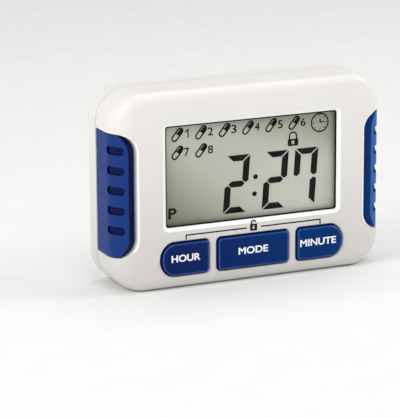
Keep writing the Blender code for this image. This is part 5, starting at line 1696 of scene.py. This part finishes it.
class PILLTIMER_OT_inner_finishes(bpy.types.Operator):
    """Finishes of the board, contacts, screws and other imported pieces"""

    bl_idname = "pill_timer.inner_finishes"
    bl_label = "Inner finishes"

    def execute(self, context):
        for node, finish in INNER_FINISHES.items():
            give_finish(node, finish)
        return {"FINISHED"}


class PILLTIMER_OT_stage(bpy.types.Operator):
    """Camera at the photograph's viewing angle, pale floor and soft studio light"""

    bl_idname = "pill_timer.stage"
    bl_label = "Stage"

    def execute(self, context):
        scene = context.scene
        azimuth, elevation, roll = (radians(a) for a in (CAMERA_AZIMUTH, CAMERA_ELEVATION, CAMERA_ROLL))
        forward = Vector((sin(azimuth) * cos(elevation), cos(azimuth) * cos(elevation), -sin(elevation)))
        level = Vector((cos(azimuth), -sin(azimuth), 0))
        upright = level.cross(forward)
        right = cos(roll) * level + sin(roll) * upright
        up = cos(roll) * upright - sin(roll) * level
        lens = bpy.data.cameras.new("camera")
        lens.sensor_fit = "HORIZONTAL"
        lens.sensor_width = SENSOR_WIDTH
        lens.lens = SENSOR_WIDTH * CAMERA_FOCAL_PIXELS / IMAGE_WIDTH
        camera = bpy.data.objects.new("camera", lens)
        turn = Matrix((right, up, -forward)).transposed().to_4x4()
        camera.matrix_world = Matrix.Translation(CAMERA_PLACE) @ turn
        scene.collection.objects.link(camera)
        scene.camera = camera
        scene.view_settings.view_transform = "Standard"
        mesh = bmesh.new()
        mesh.faces.new([mesh.verts.new((x * FLOOR_HALF, y * FLOOR_HALF, 0)) for x, y in FLOOR_CORNERS])
        data = bpy.data.meshes.new("floor")
        mesh.to_mesh(data)
        mesh.free()
        data.materials.append(looks("floor paper"))
        floor = bpy.data.objects.new("floor", data)
        scene.collection.objects.link(floor)
        floor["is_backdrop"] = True
        target = Vector((0, 0, HEIGHT / 2))
        for name, place, size, power in LIGHTS:
            lamp = bpy.data.lights.new(name, "AREA")
            lamp.size = size
            lamp.energy = power
            light = bpy.data.objects.new(name, lamp)
            light.location = place
            light.rotation_euler = (target - light.location).to_track_quat("-Z", "Y").to_euler()
            scene.collection.objects.link(light)
        scene.world = Sky("studio", HORIZON_STRENGTH, WORLD_STRENGTH).world
        return {"FINISHED"}


OPERATORS = (
    PILLTIMER_OT_stage,
    PILLTIMER_OT_front_housing,
    PILLTIMER_OT_rear_housing,
    PILLTIMER_OT_grips,
    PILLTIMER_OT_keys,
    PILLTIMER_OT_keypad,
    PILLTIMER_OT_key_lettering,
    PILLTIMER_OT_printed_marks,
    PILLTIMER_OT_display,
    PILLTIMER_OT_display_signs,
    PILLTIMER_OT_cell,
    PILLTIMER_OT_door,
    PILLTIMER_OT_stand,
    PILLTIMER_OT_inner_finishes,
)
GROUPS = {"timer_sizes": TimerSizes, "timer_display": TimerDisplay, "timer_colours": TimerColours}


class PILLTIMER_PT_sidebar(bpy.types.Panel):
    """Lists the timer's pieces, sizes and colours"""

    bl_idname = "PILLTIMER_PT_sidebar"
    bl_label = "Pill timer"
    bl_space_type = "VIEW_3D"
    bl_region_type = "UI"
    bl_category = "Pill timer"

    def draw(self, context):
        for kind in OPERATORS:
            self.layout.operator(kind.bl_idname)
        for key, kind in GROUPS.items():
            box = self.layout.box()
            for name in kind.__annotations__:
                box.prop(getattr(context.scene, key), name)


CLASSES = (*GROUPS.values(), *OPERATORS, PILLTIMER_PT_sidebar)


def register():
    for kind in CLASSES:
        bpy.utils.register_class(kind)
    for key, kind in GROUPS.items():
        setattr(bpy.types.Scene, key, PointerProperty(type=kind))


def unregister():
    for key in GROUPS:
        delattr(bpy.types.Scene, key)
    for kind in reversed(CLASSES):
        bpy.utils.unregister_class(kind)


def write_sizes():
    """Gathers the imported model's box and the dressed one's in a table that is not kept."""
    corners = {"cad": PACKED_BOX, "visual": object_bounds()}
    {name: [list(corner) for corner in box] for name, box in corners.items()}


def main():
    register()
    pieces = bpy.ops.pill_timer
    pieces.stage()
    pieces.front_housing()
    pieces.rear_housing()
    pieces.grips()
    pieces.keys()
    pieces.keypad()
    pieces.key_lettering()
    pieces.printed_marks()
    pieces.display()
    pieces.display_signs()
    pieces.cell()
    pieces.door()
    pieces.stand()
    pieces.inner_finishes()
    write_sizes()


if __name__ == "__main__":
    main()
